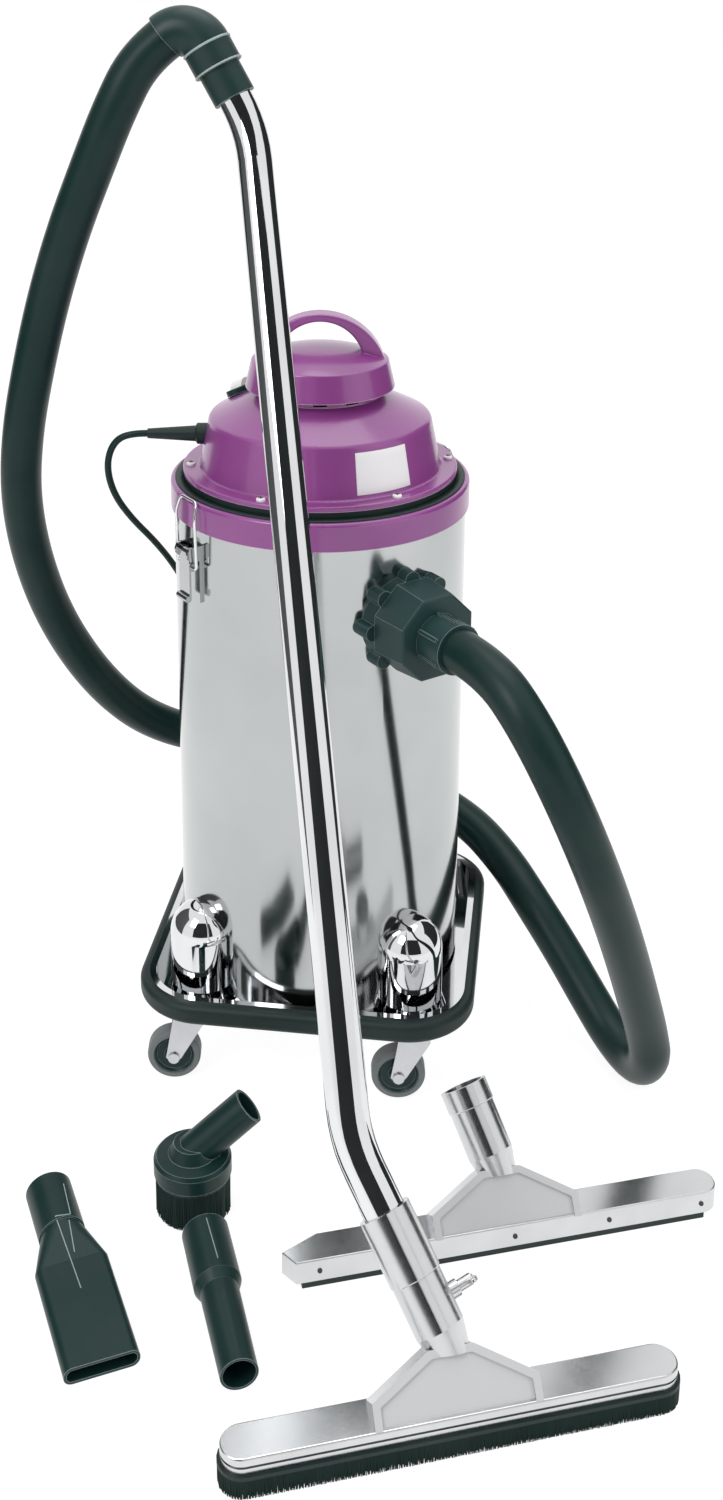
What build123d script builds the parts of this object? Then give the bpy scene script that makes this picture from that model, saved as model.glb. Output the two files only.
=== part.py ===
from build123d import *
import os
from math import asin, atan2, ceil, cos, degrees, hypot, pi, radians, sin, sqrt, tan

# Wet and dry shop vacuum: stainless drum on a four-caster trolley, moulded motor head, hose, chromed
# wand, floor tool and loose accessories. Millimetres, +Z up, origin on the drum's axis at floor level,
# front towards -Y. Bearings round the drum are degrees from the front, positive towards +X.

# Fits
GAP = 0.3  # between pieces that move past each other
RUN = 0.05  # radial running clearance of a pin in its hole

# Casters
WHEEL_R = 31.0
TYRE_T = 7.0
WHEEL_W = 22.0
AXLE_R = 4.0
FORK_T = 2.5
FORK_TRAIL = 22.0
FORK_TOP_R = 19.0
KINGPIN_R = 5.0
CASTER_PLATE = 48.0
CASTER_PLATE_T = 3.0
CASTER_OUT = 21.0  # swivel axes outside the drum's wall
CASTER_HEIGHT = 108.0

# Trolley
BASE_TURN = -8.0  # how far the square base is turned against the view
TRAY_MARGIN = 13.0  # from the drum's wall to the tray's side
TRAY_CORNER_R = 62.0
TRAY_T = 2.5
TRAY_H = 26.0
TRAY_LIP = 5.0
BUMPER_T = 16.0
BUMPER_ROUND = 7.0
DOME_R = 37.0
DOME_OUT = 5.0  # dome axes outside the drum's wall
DOME_H = 112.0
DOME_FLARE = 5.0

# Drum
DRUM_R = 165.0
DRUM_WALL = 1.5
DRUM_H = 579.5
DRUM_EDGE = 6.0

# Motor head
RING_T = 3.5
RING_SKIRT = 14.0
RING_H = 31.0
RING_ROUND = 4.0
PLATE_SEAT = 12.0
PLATE_INSET = 15.0  # from the drum's wall to the motor plate's edge
PLATE_T = 8.0
GASKET_OVER = 3.0
GASKET_T = 8.0
FLANGE_OVER = 4.5
FLANGE_T = 5.5
FLANGE_W = 18.5
HOUSING_TAPER = 11.5
HOUSING_SIDE_H = 56.0
HOUSING_CROWN_H = 27.0
HOUSING_ROUND = 8.0
HOUSING_WALL = 3.0
NECK_R = 70.0
NECK_H = 15.0
NECK_SLOTS = 12
NECK_SLOT_W = 16.0
NECK_SLOT_H = 8.0
CAP_BASE_R = 83.5
CAP_TOP_R = 76.5
CAP_H = 30.0
CAP_OVERHANG = 7.0
CAP_WALL = 3.0
CAP_CROWN = 15.0
CAP_SKIRT_R = 70.0
CAP_ROUND = 2.5
HANDLE_H = 52.5
HANDLE_HALF = 72.0
HANDLE_GAP_HALF = 48.0
HANDLE_GAP_H = 44.0
HANDLE_W = 26.0
HANDLE_ROUND = 2.4
SCREW_COUNT = 6
SCREW_EDGE = 9.0  # screw axes inside the flange's edge
SCREW_HEAD_R = 5.0
SCREW_HEAD_H = 3.0
SCREW_SHANK_R = 2.5
SCREW_BEARING = 4.4

# Switch on the housing's crown
SWITCH_BEARING = -122.0
SWITCH_RADIUS = 103.0
SWITCH_L = 46.0
SWITCH_W = 30.0
SWITCH_H = 7.0
ROCKER_R = 13.0
ROCKER_W = 17.0
ROCKER_TILT = 9.0

# Motor, fan and float
SHAFT_R = 4.0
CASE_R = 52.0
CASE_H = 58.0
CASE_WALL = 2.5
STATOR_BORE_R = 26.0
ROTOR_R = 25.0
SHROUD_R = 74.0
SHROUD_H = 35.0
SHROUD_WALL = 2.0
INTAKE_R = 15.0
FAN_R = 64.0
FAN_T = 2.5
FAN_H = 14.0
FAN_VANES = 7
CAGE_R = 44.0
CAGE_H = 96.0
CAGE_WALL = 2.5
CAGE_FLANGE_R = 60.0
CAGE_FLANGE_T = 3.0
CAGE_SLOTS = 8
FLOAT_R = 22.0
FOAM_T = 12.0

# Cable gland on the housing's left
GLAND_R = 9.0
GLAND_TIP_R = 5.6
GLAND_L = 58.0
GLAND_UP = 33.2  # axis above the housing's foot
GLAND_ROOT = 4.0

# Over-centre clips on the drum
CLIP_BEARINGS = {"left": -56.0, "right": 124.0}
CLIP_PIVOT_DROP = 40.0  # pivot below the ring's lower edge line
CLIP_PIN_R = 2.0
CLIP_W = 28.0
CLIP_PLATE_H = 66.0
CLIP_PLATE_T = 2.5
CLIP_EAR_T = 3.0
CLIP_EAR_R = 8.5
CLIP_STANDOFF = 9.0
LEVER_L = 52.0
LEVER_T = 2.5
LEVER_CRANK = 16.0
BAIL_WIRE_R = 1.75
BAIL_HALF_W = 19.0
BAIL_CORNER_R = 8.0

# Hose inlet on the drum
INLET_BEARING = 33.0
INLET_DROP = 101.0  # from the drum's top edge down to the inlet's axis
INLET_BORE_R = 20.0
COLLAR_R = 50.0
COLLAR_T = 15.0
COLLAR_LOBES = 8
LOBE_R = 9.0
SPIGOT_R = 25.0
NUT_SIDES = 8
NUT_R_BACK = 53.0
NUT_R_FRONT = 49.0
NUT_L = 46.0
CUFF_R = 27.5
CUFF_FRONT = 36.0
CUFF_RIBS = 6
SPIGOT_IN = 24.0
ELBOW_REACH = 42.0
ELBOW_DROP = 44.0
ELBOW_BEND_R = 32.0

# Hose and wand
HOSE_R = 23.5
HOSE_WALL = 3.0
WAND_R_TOP = 18.5
WAND_R_LOW = 20.5
WAND_WALL = 1.5
WAND_BEND_R = 150.0
WAND_FOOT_BEND_R = 150.0
WAND_TOP = (-103.7, -66.0, 1166.7)
WAND_UPPER_BEND = (-70.2, -80.0, 1107.0)
WAND_CUFF_R = 22.5
WAND_CUFF_L = 34.0
WAND_SLEEVE_R = 26.0
WAND_SLEEVE_L = 28.0
ELBOW_R = 28.0
ELBOW_TURN = 100.0

# Floor tool
TOOL_AT = (120.7, -618.6)
TOOL_TURN = 13.1
TOOL_L = 428.0
TOOL_W = 40.0
TOOL_TOP = 41.0
TOOL_GROOVE = 2.5
TOOL_SKIRT = 6.5
TOOL_PLATE_T = 7.5
NECK_PITCH = 53.0
NECK_LEAN = 19.5
NECK_PIVOT = 46.0  # from the plate up the hood's slope to where the neck leans
HOOD_HALF = 78.0
HOOD_SIDE = 11.0
HOOD_RISE = 44.0
HOOD_APEX_HALF = 21.0
HOOD_T = 30.0
HOOD_ROUND = 4.0
HOOD_RIM = 7.0
HOOD_INSET = 3.0
TOOL_NECK_R = 24.0
TOOL_NECK_FLARE = 40.0
TOOL_NECK_END = 122.0
NECK_COLLAR_OVER = 1.2
NECK_COLLAR_L = 62.0
THROAT_STEP = 3.0
WAND_SEAT = 18.0
WAND_KNEE = 68.0  # from the neck's end to the wand's lower bend
THUMB_AT = 34.0
THUMB_STUD_R = 3.0
THUMB_BOSS_R = 8.0
THUMB_BOSS_L = 6.0
THUMB_L = 14.0
WING_L = 15.0
WING_T = 4.0
BRUSH_OVER = 6.0
BRUSH_BACK = 4.0
STRAND = 3.2
STRAND_PITCH = 4.0

# Squeegee tool
SQUEEGEE_AT = (188.6, -379.2)
SQUEEGEE_TURN = 13.1
SQUEEGEE_L = 466.0
SQUEEGEE_W = 36.0
SQUEEGEE_TOP = 32.0
SQUEEGEE_PLATE_T = 5.0
SQUEEGEE_WALL = 4.0
SQUEEGEE_SKIRT_H = 25.0
SQUEEGEE_CHAMFER = 39.0
SQUEEGEE_NOSE = 11.0
SQUEEGEE_END_R = 16.5
SQUEEGEE_LEAN = 15.0
SQUEEGEE_NECK_END = 84.0
SQUEEGEE_COLLAR_L = 22.0
SQUEEGEE_BORE_FROM = 26.0
BLADE_T = 5.0
BLADE_END = 17.0
BLADE_BACK = 0.6

# Loose nozzles
SOCKET_R = 24.0
SOCKET_BORE_R = 20.2
FLAT_AT = (-285.0, -342.0)
FLAT_TURN = -69.0
FLAT_SOCKET_L = 62.0
FLAT_SHOULDER_L = 42.0
FLAT_BLADE_L = 122.0
FLAT_W = 74.0
FLAT_T = 20.0
FLAT_WALL = 3.0
ROUND_AT = (-117.0, -400.0)
ROUND_TURN = -76.0
ROUND_SOCKET_L = 68.0
ROUND_STEP_L = 10.0
ROUND_TUBE_R = 19.5
ROUND_TUBE_L = 96.0
ROUND_TAPER = 1.0
ROUND_SLANT = 35.0
ROUND_WALL = 2.5
DUST_AT = (-134.0, -330.0)
DUST_R = 41.0
DUST_CAP_H = 20.0
DUST_BRISTLE_H = 42.0
DUST_BACK = 4.0
DUST_SHOULDER_H = 14.0
DUST_NECK_R = 19.5
DUST_NECK_BORE_R = 16.5
DUST_NECK_L = 78.0
DUST_NECK_LEAN = 50.0
DUST_NECK_TURN = 10.0

# Mains cord
CORD_R = 4.0
COIL_AT = (18.0, 296.0)
COIL_R = 60.0
COIL_PITCH = 8.8
COIL_LAYERS = 4
COIL_LOOPS = 3
TIE_T = 1.6
TIE_W = 13.0
TIE_BEARING = 200.0
PLUG_W = 36.0
PLUG_H = 24.0
PLUG_L = 44.0
PLUG_SLEEVE_R = 6.5
PLUG_SLEEVE_L = 22.0
PLUG_PIN_R = 2.4
PLUG_PIN_L = 19.0
PLUG_PIN_SPACING = 19.0
PLUG_TAIL = 44.0

# Route of the hose from the inlet cuff to the wand's elbow, between its two end runs
HOSE_ROUTE = [
    (205.8, -316.7, 554.0),
    (241.8, -336.7, 485.0),
    (275.0, -321.0, 403.0),
    (305.0, -283.0, 317.0),
    (330.0, -244.0, 237.0),
    (351.0, -209.0, 165.0),
    (367.0, -182.0, 108.0),
    (377.0, -168.0, 62.0),
    (371.0, -134.0, 23.0),
    (350.0, -86.0, 25.0),
    (325.0, -40.0, 52.0),
    (296.0, 4.0, 90.0),
    (264.0, 48.0, 127.0),
    (236.0, 103.0, 152.0),
    (193.0, 162.0, 177.0),
    (118.0, 212.0, 199.0),
    (22.0, 239.0, 222.0),
    (-72.0, 241.0, 243.0),
    (-150.0, 225.0, 264.0),
    (-208.0, 196.0, 296.0),
    (-252.0, 160.0, 345.0),
    (-292.0, 128.0, 412.0),
    (-325.0, 95.0, 496.0),
    (-343.0, 63.0, 586.0),
    (-347.0, 35.0, 672.0),
    (-337.0, 13.0, 752.0),
    (-319.0, -5.0, 830.0),
    (-297.0, -18.0, 912.0),
    (-270.0, -30.0, 992.0),
    (-239.0, -42.0, 1066.0),
    (-215.0, -50.0, 1122.0),
]

# Route of the mains cord from the gland to the coil, between its two end runs
CORD_ROUTE = [
    (-217.0, 0.0, 754.0),
    (-235.0, 4.0, 740.0),
    (-243.0, 10.0, 711.0),
    (-237.0, 21.0, 674.0),
    (-219.0, 40.0, 637.0),
    (-196.0, 66.0, 600.0),
    (-175.0, 96.0, 556.0),
    (-154.0, 122.0, 500.0),
    (-128.0, 146.0, 436.0),
    (-102.0, 163.0, 366.0),
    (-80.0, 176.0, 296.0),
    (-66.0, 191.0, 230.0),
    (-58.0, 212.0, 168.0),
    (-56.0, 229.0, 116.0),
    (-48.0, 236.0, 78.0),
    (-31.0, 236.0, 49.0),
]

# Places and levels that follow from the sizes above
TRAY_HALF = DRUM_R + TRAY_MARGIN
DOME_RADIUS = DRUM_R + DOME_OUT
CASTER_RADIUS = DRUM_R + CASTER_OUT
PLATE_R = DRUM_R - PLATE_INSET
RING_INNER_R = PLATE_R - PLATE_SEAT
GASKET_R = PLATE_R + GASKET_OVER
FLANGE_R = PLATE_R + FLANGE_OVER
HOUSING_BASE_R = FLANGE_R - FLANGE_W
HOUSING_TOP_R = HOUSING_BASE_R - HOUSING_TAPER
SCREW_CIRCLE_R = FLANGE_R - SCREW_EDGE
TRAY_FLOOR = CASTER_HEIGHT + TRAY_T
DRUM_TOP = TRAY_FLOOR + DRUM_H
INLET_Z = DRUM_TOP - INLET_DROP
WEB_Z = DRUM_TOP + GAP
RING_Z = WEB_Z - RING_SKIRT
RING_TOP = RING_Z + RING_H
RING_R = DRUM_R + GAP + RING_T
PLATE_Z = RING_TOP - PLATE_T
FLANGE_Z = RING_TOP + GASKET_T
HOUSING_Z = FLANGE_Z + FLANGE_T
SHOULDER_Z = HOUSING_Z + HOUSING_SIDE_H
CROWN_Z = SHOULDER_Z + HOUSING_CROWN_H
NECK_TOP = CROWN_Z + NECK_H
CAP_Z = NECK_TOP - CAP_OVERHANG
CAP_TOP = CAP_Z + CAP_H
GLAND_Z = HOUSING_Z + GLAND_UP
CASE_Z = RING_TOP + SHROUD_H
CASE_TOP = CASE_Z + CASE_H
CAGE_Z = PLATE_Z - CAGE_H
CLIP_PIVOT_Z = RING_Z - CLIP_PIVOT_DROP + RING_SKIRT
BASE_CORNERS = [BASE_TURN + 45 + 90 * k for k in range(4)]


def bearing(angle):
    """Unit vector from the drum's axis towards a bearing."""
    return Vector(sin(radians(angle)), -cos(radians(angle)), 0)


def turned(*points):
    """Solid of revolution about Z of a closed (radius, height) outline."""
    return revolve(Plane.XZ * make_face(Polyline(*points, close=True)), Axis.Z)


def disc(radius, z0, z1, hole=0.0):
    """Flat disc between two heights, with an optional bore."""
    if hole > 0:
        return turned((hole, z0), (radius, z0), (radius, z1), (hole, z1))
    return turned((0, z0), (radius, z0), (radius, z1), (0, z1))


def rounded_rim(solid, radius, rim_r, rim_z):
    """Fillets the circular edge of a turned solid that has this radius and height."""
    rims = [
        e
        for e in solid.edges().filter_by(GeomType.CIRCLE)
        if abs(e.radius - rim_r) < 0.01 and abs(e.arc_center.Z - rim_z) < 0.01
    ]
    return fillet(rims, radius)


def pin(start, end, radius):
    """Round bar between two points."""
    axis = Vector(*end) - Vector(*start)
    return extrude(Plane(origin=start, z_dir=axis) * Circle(radius), amount=axis.length)


def box(x0, x1, y0, y1, z0, z1):
    """Block between two corners."""
    return Pos((x0 + x1) / 2, (y0 + y1) / 2, (z0 + z1) / 2) * Box(x1 - x0, y1 - y0, z1 - z0)


def around(solid, count, start=0.0):
    """Copies of a solid, evenly spaced about Z."""
    return [Rot(0, 0, start + 360 * k / count) * solid for k in range(count)]


def one(shape):
    """The single solid of a boolean result."""
    return shape.solids()[0] if len(shape.solids()) == 1 else shape


def routed(points, name, diameter):
    """Path of straight runs and tangent arcs, each arc as large as its two runs allow."""
    vectors = [Vector(*p) for p in points]
    runs = [b - a for a, b in zip(vectors, vectors[1:])]
    radii = [
        0.45 * min(a.length, b.length) / tan(radians(a.get_angle(b)) / 2) for a, b in zip(runs, runs[1:])
    ]
    path = FilletPolyline(*vectors, radius=radii)
    tightest = sorted(round(r) for r in radii)[:4]
    print(f"{name}: {path.length:.0f} mm, tightest radii {tightest} mm, diameter {diameter:.0f} mm")
    return path


def near_round(radius):
    """Outline that is round but for four short flats, to loft into a rounded rectangle."""
    return RectangleRounded(2 * radius, 2 * radius, 0.98 * radius)


def tube_along(path, radius, bore=0.0):
    """Tube swept along a path, with an optional bore."""
    section = Circle(radius) - Circle(bore) if bore else Circle(radius)
    return sweep(Plane(origin=path @ 0, z_dir=path % 0) * section, path=path)


# Trolley

def square(half, corner):
    return Rot(0, 0, BASE_TURN) * RectangleRounded(2 * half, 2 * half, corner)


def make_tray():
    lip_half = TRAY_HALF + TRAY_LIP
    pan = extrude(square(TRAY_HALF, TRAY_CORNER_R), TRAY_H)
    lip = Pos(0, 0, TRAY_H - TRAY_T) * extrude(square(lip_half, TRAY_CORNER_R + TRAY_LIP), TRAY_T)
    hollow = Pos(0, 0, TRAY_T) * extrude(square(TRAY_HALF - TRAY_T, TRAY_CORNER_R - TRAY_T), TRAY_H)
    return Pos(0, 0, CASTER_HEIGHT) * (pan + lip - hollow)


def make_bumper():
    height = TRAY_H - TRAY_T
    outer = extrude(square(TRAY_HALF + BUMPER_T, TRAY_CORNER_R + BUMPER_T), height)
    outer = fillet(outer.edges().group_by(Axis.Z)[0] + outer.edges().group_by(Axis.Z)[-1], BUMPER_ROUND)
    return Pos(0, 0, CASTER_HEIGHT) * (outer - extrude(square(TRAY_HALF, TRAY_CORNER_R), height))


def make_domes():
    straight = DOME_H - DOME_R
    crown = ThreePointArc(
        (DOME_R, straight), (DOME_R * cos(pi / 4), straight + DOME_R * sin(pi / 4)), (0, DOME_H)
    )
    outline = Polyline((0, DOME_H), (0, 0), (DOME_R + DOME_FLARE, 0), (DOME_R, 3 * DOME_FLARE), (DOME_R, straight))
    dome = revolve(Plane.XZ * make_face([crown, outline]), Axis.Z)
    seat = Cylinder(DRUM_R, 3 * DOME_H)
    domes = []
    for angle in BASE_CORNERS:
        foot = bearing(angle) * DOME_RADIUS
        domes.append(one(Pos(foot.X, foot.Y, TRAY_FLOOR) * dome - Pos(0, 0, TRAY_FLOOR) * seat))
    return domes


# Casters

RACE_Z = CASTER_HEIGHT - CASTER_PLATE_T
FORK_Z = RACE_Z - 6.0


def caster_at(angle):
    """Plane at floor level under a caster's swivel axis, X pointing against the trail."""
    foot = bearing(angle) * CASTER_RADIUS
    return Plane(origin=(foot.X, foot.Y, 0), x_dir=(1, 0, 0), z_dir=(0, 0, 1))


def make_caster_plate():
    plate = Pos(0, 0, RACE_Z) * extrude(RectangleRounded(CASTER_PLATE, CASTER_PLATE, 6), CASTER_PLATE_T)
    race = turned((0, RACE_Z), (0, FORK_Z + GAP), (16, FORK_Z + GAP), (18, RACE_Z))
    stem = disc(KINGPIN_R, FORK_Z - FORK_T - GAP, RACE_Z)
    rivet = disc(KINGPIN_R + 3, FORK_Z - FORK_T - GAP - 2, FORK_Z - FORK_T - GAP)
    return Rot(0, 0, BASE_TURN) * plate + race + stem + rivet


def make_fork():
    """Pressed fork with its axle, wheel axis along Y, trailing towards -X."""
    half = WHEEL_W / 2 + 1.5
    crown = disc(FORK_TOP_R, FORK_Z - FORK_T, FORK_Z, KINGPIN_R + RUN)
    axle_end = (-FORK_TRAIL, WHEEL_R)
    leg_outline = Polyline(
        (-FORK_TOP_R, FORK_Z),
        (-FORK_TRAIL - 9, WHEEL_R),
        (-FORK_TRAIL, WHEEL_R - 9),
        (-FORK_TRAIL + 9, WHEEL_R),
        (FORK_TOP_R - 5, FORK_Z - 22),
        (FORK_TOP_R - 5, FORK_Z),
        close=True,
    )
    leg = extrude(Plane.XZ * make_face(leg_outline), FORK_T)
    hole = Plane.XZ * Pos(*axle_end) * Cylinder(AXLE_R, 6 * half)
    legs = Pos(0, half + FORK_T, 0) * leg + Pos(0, -half, 0) * leg
    bridge = box(-FORK_TOP_R, FORK_TOP_R - 5, -half, half, FORK_Z - FORK_T, FORK_Z)
    bridge -= Pos(0, 0, FORK_Z) * Cylinder(KINGPIN_R + RUN, 20)
    fork = one(crown + bridge + legs - hole)
    axle = Plane.XZ * Pos(*axle_end) * Cylinder(AXLE_R, 2 * (half + FORK_T))
    head = Plane.XZ * Pos(*axle_end) * Cylinder(AXLE_R + 2.5, 2.5)
    heads = [Pos(0, side * (half + FORK_T + 1.25), 0) * head for side in (-1, 1)]
    return [fork, one(axle + heads)]


def make_hub():
    rim = WHEEL_R - TYRE_T
    half = WHEEL_W / 2
    hub = turned(
        (AXLE_R + RUN, -half - 1),
        (9, -half - 1),
        (11, -half + 4),
        (rim - 4, -half + 4),
        (rim - 1, -half + 1),
        (rim, -half + 1),
        (rim, half - 1),
        (rim - 1, half - 1),
        (rim - 4, half - 4),
        (11, half - 4),
        (9, half + 1),
        (AXLE_R + RUN, half + 1),
    )
    return Pos(-FORK_TRAIL, 0, WHEEL_R) * Rot(90, 0, 0) * hub


def make_tyre():
    half = WHEEL_W / 2
    tyre = disc(WHEEL_R, -half, half, WHEEL_R - TYRE_T)
    tyre = rounded_rim(tyre, 4, WHEEL_R, half)
    tyre = rounded_rim(tyre, 4, WHEEL_R, -half)
    return Pos(-FORK_TRAIL, 0, WHEEL_R) * Rot(90, 0, 0) * tyre


# Drum and hose inlet

INLET = Plane(origin=(0, 0, INLET_Z), x_dir=(0, 0, 1), z_dir=bearing(INLET_BEARING))
COLLAR_END = DRUM_R + COLLAR_T
NUT_END = COLLAR_END + GAP + NUT_L
CUFF_END = NUT_END + CUFF_FRONT


def make_drum():
    inner = DRUM_R - DRUM_WALL
    wall = turned(
        (0, TRAY_FLOOR),
        (DRUM_R - DRUM_EDGE, TRAY_FLOOR),
        (DRUM_R, TRAY_FLOOR + DRUM_EDGE),
        (DRUM_R, DRUM_TOP),
        (inner, DRUM_TOP),
        (inner, TRAY_FLOOR + DRUM_EDGE + DRUM_WALL),
        (inner - DRUM_EDGE, TRAY_FLOOR + DRUM_WALL),
        (0, TRAY_FLOOR + DRUM_WALL),
    )
    return wall - INLET * Pos(0, 0, DRUM_R) * Cylinder(SPIGOT_R, DRUM_R)


def make_inlet_flange():
    """Lobed collar seated on the drum, with its spigot through the wall."""
    collar = INLET * disc(COLLAR_R, DRUM_R - 30, COLLAR_END)
    lobe = INLET * Pos(COLLAR_R, 0, 0) * disc(LOBE_R, DRUM_R - 30, COLLAR_END)
    lobes = [lobe.rotate(Axis((0, 0, INLET_Z), INLET.z_dir), 360 * k / COLLAR_LOBES) for k in range(COLLAR_LOBES)]
    outside = collar + lobes - Cylinder(DRUM_R, 4 * DRUM_H)
    spigot = INLET * disc(SPIGOT_R, DRUM_R - SPIGOT_IN, COLLAR_END)
    bore = INLET * disc(INLET_BORE_R, 0, 2 * DRUM_R)
    return one(outside + spigot - bore)


def make_inlet_nut():
    """Eight-sided clamping nut that turns on the cuff."""
    back = Pos(0, 0, COLLAR_END + GAP) * RegularPolygon(NUT_R_BACK, NUT_SIDES, rotation=22.5)
    front = Pos(0, 0, NUT_END) * RegularPolygon(NUT_R_FRONT, NUT_SIDES, rotation=22.5)
    nut = fillet(loft([back, front]).edges().group_by(Axis.Z)[-1], 3)
    return INLET * (nut - disc(CUFF_R + RUN, COLLAR_END, NUT_END + 1))


def make_inlet_cuff():
    sleeve = disc(CUFF_R, COLLAR_END, CUFF_END, INLET_BORE_R)
    rib = box(CUFF_R - 1, CUFF_R + 2, -2, 2, NUT_END + GAP, CUFF_END - 6)
    return INLET * one(sleeve + around(rib, CUFF_RIBS))


def make_inlet_elbow():
    """Bent pipe inside the drum that turns the air stream downwards."""
    start = INLET.origin + INLET.z_dir * (DRUM_R - SPIGOT_IN)
    corner = start - INLET.z_dir * ELBOW_REACH
    path = FilletPolyline(start, corner, corner - Vector(0, 0, ELBOW_DROP), radius=ELBOW_BEND_R)
    return tube_along(path, SPIGOT_R, INLET_BORE_R)


# Motor head

def make_ring():
    ring = turned(
        (DRUM_R + GAP, RING_Z),
        (RING_R, RING_Z),
        (RING_R, RING_TOP),
        (PLATE_R, RING_TOP),
        (PLATE_R, PLATE_Z),
        (RING_INNER_R, PLATE_Z),
        (RING_INNER_R, WEB_Z),
        (DRUM_R + GAP, WEB_Z),
    )
    return rounded_rim(ring, RING_ROUND, RING_R, RING_TOP)


def screw_holes():
    hole = Pos(SCREW_CIRCLE_R, 0, 0) * disc(SCREW_SHANK_R, PLATE_Z + 1, HOUSING_Z + 1)
    return around(hole, SCREW_COUNT, SCREW_BEARING)


def make_motor_plate():
    return disc(PLATE_R, PLATE_Z, RING_TOP, INTAKE_R) - screw_holes()


def make_gasket():
    return disc(GASKET_R, RING_TOP, FLANGE_Z, HOUSING_BASE_R - HOUSING_WALL) - screw_holes()


def make_screws():
    head = turned(
        (0, HOUSING_Z),
        (SCREW_HEAD_R, HOUSING_Z),
        (SCREW_HEAD_R, HOUSING_Z + SCREW_HEAD_H / 2),
        (SCREW_HEAD_R - 2, HOUSING_Z + SCREW_HEAD_H),
        (0, HOUSING_Z + SCREW_HEAD_H),
    )
    screw = Pos(SCREW_CIRCLE_R, 0, 0) * one(head + disc(SCREW_SHANK_R, PLATE_Z + 1, HOUSING_Z))
    return around(screw, SCREW_COUNT, SCREW_BEARING)


def make_housing():
    wall = HOUSING_WALL
    shell = turned(
        (HOUSING_BASE_R - wall, FLANGE_Z),
        (FLANGE_R, FLANGE_Z),
        (FLANGE_R, HOUSING_Z),
        (HOUSING_BASE_R, HOUSING_Z),
        (HOUSING_TOP_R, SHOULDER_Z),
        (NECK_R, CROWN_Z),
        (NECK_R, NECK_TOP),
        (NECK_R - wall, NECK_TOP),
        (NECK_R - wall, CROWN_Z - wall),
        (HOUSING_TOP_R - wall - 1, SHOULDER_Z - wall),
    )
    shell = rounded_rim(shell, HOUSING_ROUND, HOUSING_TOP_R, SHOULDER_Z)
    shell = rounded_rim(shell, 3, HOUSING_BASE_R, HOUSING_Z)
    shell = rounded_rim(shell, 2, FLANGE_R, HOUSING_Z)
    slot_z = CROWN_Z + 1.5
    slot = box(NECK_R - 2 * wall, NECK_R + wall, -NECK_SLOT_W / 2, NECK_SLOT_W / 2, slot_z, slot_z + NECK_SLOT_H)
    return shell - around(slot, NECK_SLOTS) - screw_holes()


def cap_crown(rim, low, high):
    """Arc of the cap's domed top, from its rim to the axis."""
    rise = high - low
    ball = (rim**2 + rise**2) / (2 * rise)
    half = rim / 2
    return ThreePointArc((rim, low), (half, high - ball + sqrt(ball**2 - half**2)), (0, high))


def make_cap():
    wall = CAP_WALL
    skirt = CAP_SKIRT_R - wall
    under = CAP_TOP - wall
    apex = CAP_TOP + CAP_CROWN
    slope = (CAP_BASE_R - CAP_TOP_R) / CAP_H
    side = Polyline(
        (skirt, under),
        (skirt, NECK_TOP),
        (CAP_SKIRT_R, NECK_TOP),
        (CAP_SKIRT_R, under),
        (CAP_TOP_R - wall, under),
        (CAP_BASE_R - wall - slope, CAP_Z),
        (CAP_BASE_R, CAP_Z),
        (CAP_TOP_R, CAP_TOP),
    )
    centre = Line((0, apex), (0, apex - wall))
    face = make_face([side, cap_crown(CAP_TOP_R, CAP_TOP, apex), centre, cap_crown(skirt, under, apex - wall)])
    cap = revolve(Plane.XZ * face, Axis.Z)
    return rounded_rim(cap, CAP_ROUND, CAP_TOP_R, CAP_TOP)


def make_handle():
    """Arched strap across the cap, its feet following the domed top."""
    low = CAP_TOP - CAP_ROUND
    top = CAP_TOP + HANDLE_H
    outer = make_face(
        [
            ThreePointArc((-HANDLE_HALF, CAP_TOP), (0, top), (HANDLE_HALF, CAP_TOP)),
            Polyline((HANDLE_HALF, CAP_TOP), (HANDLE_HALF, low), (-HANDLE_HALF, low), (-HANDLE_HALF, CAP_TOP)),
        ]
    )
    gap = make_face(
        [
            ThreePointArc(
                (-HANDLE_GAP_HALF, CAP_TOP), (0, CAP_TOP + HANDLE_GAP_H), (HANDLE_GAP_HALF, CAP_TOP)
            ),
            Polyline(
                (HANDLE_GAP_HALF, CAP_TOP),
                (HANDLE_GAP_HALF, low),
                (-HANDLE_GAP_HALF, low),
                (-HANDLE_GAP_HALF, CAP_TOP),
            ),
        ]
    )
    strap = extrude(Plane.XZ * (outer - gap), HANDLE_W / 2, both=True)
    arches = strap.edges().filter_by(GeomType.CIRCLE)
    strap = fillet(arches, HANDLE_ROUND)
    apex = CAP_TOP + CAP_CROWN
    under = make_face(
        [
            cap_crown(CAP_TOP_R, CAP_TOP, apex),
            Polyline((0, apex), (0, CAP_Z), (CAP_BASE_R, CAP_Z), (CAP_BASE_R, CAP_TOP), (CAP_TOP_R, CAP_TOP)),
        ]
    )
    return one(strap - revolve(Plane.XZ * under, Axis.Z))


# Switch

def crown_plane(angle, radius):
    """Plane on the housing's conical crown, Z along its outward normal and Y up the slope."""
    rise = HOUSING_CROWN_H / (HOUSING_TOP_R - NECK_R)
    out = bearing(angle)
    height = SHOULDER_Z + (HOUSING_TOP_R - radius) * rise
    normal = Vector(out.X * rise, out.Y * rise, 1)
    sideways = Vector(-out.Y, out.X, 0)
    return Plane(origin=(out.X * radius, out.Y * radius, height), x_dir=sideways, z_dir=normal)


SWITCH = crown_plane(SWITCH_BEARING, SWITCH_RADIUS)
ROCKER_Z = SWITCH_H - 5.0


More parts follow.
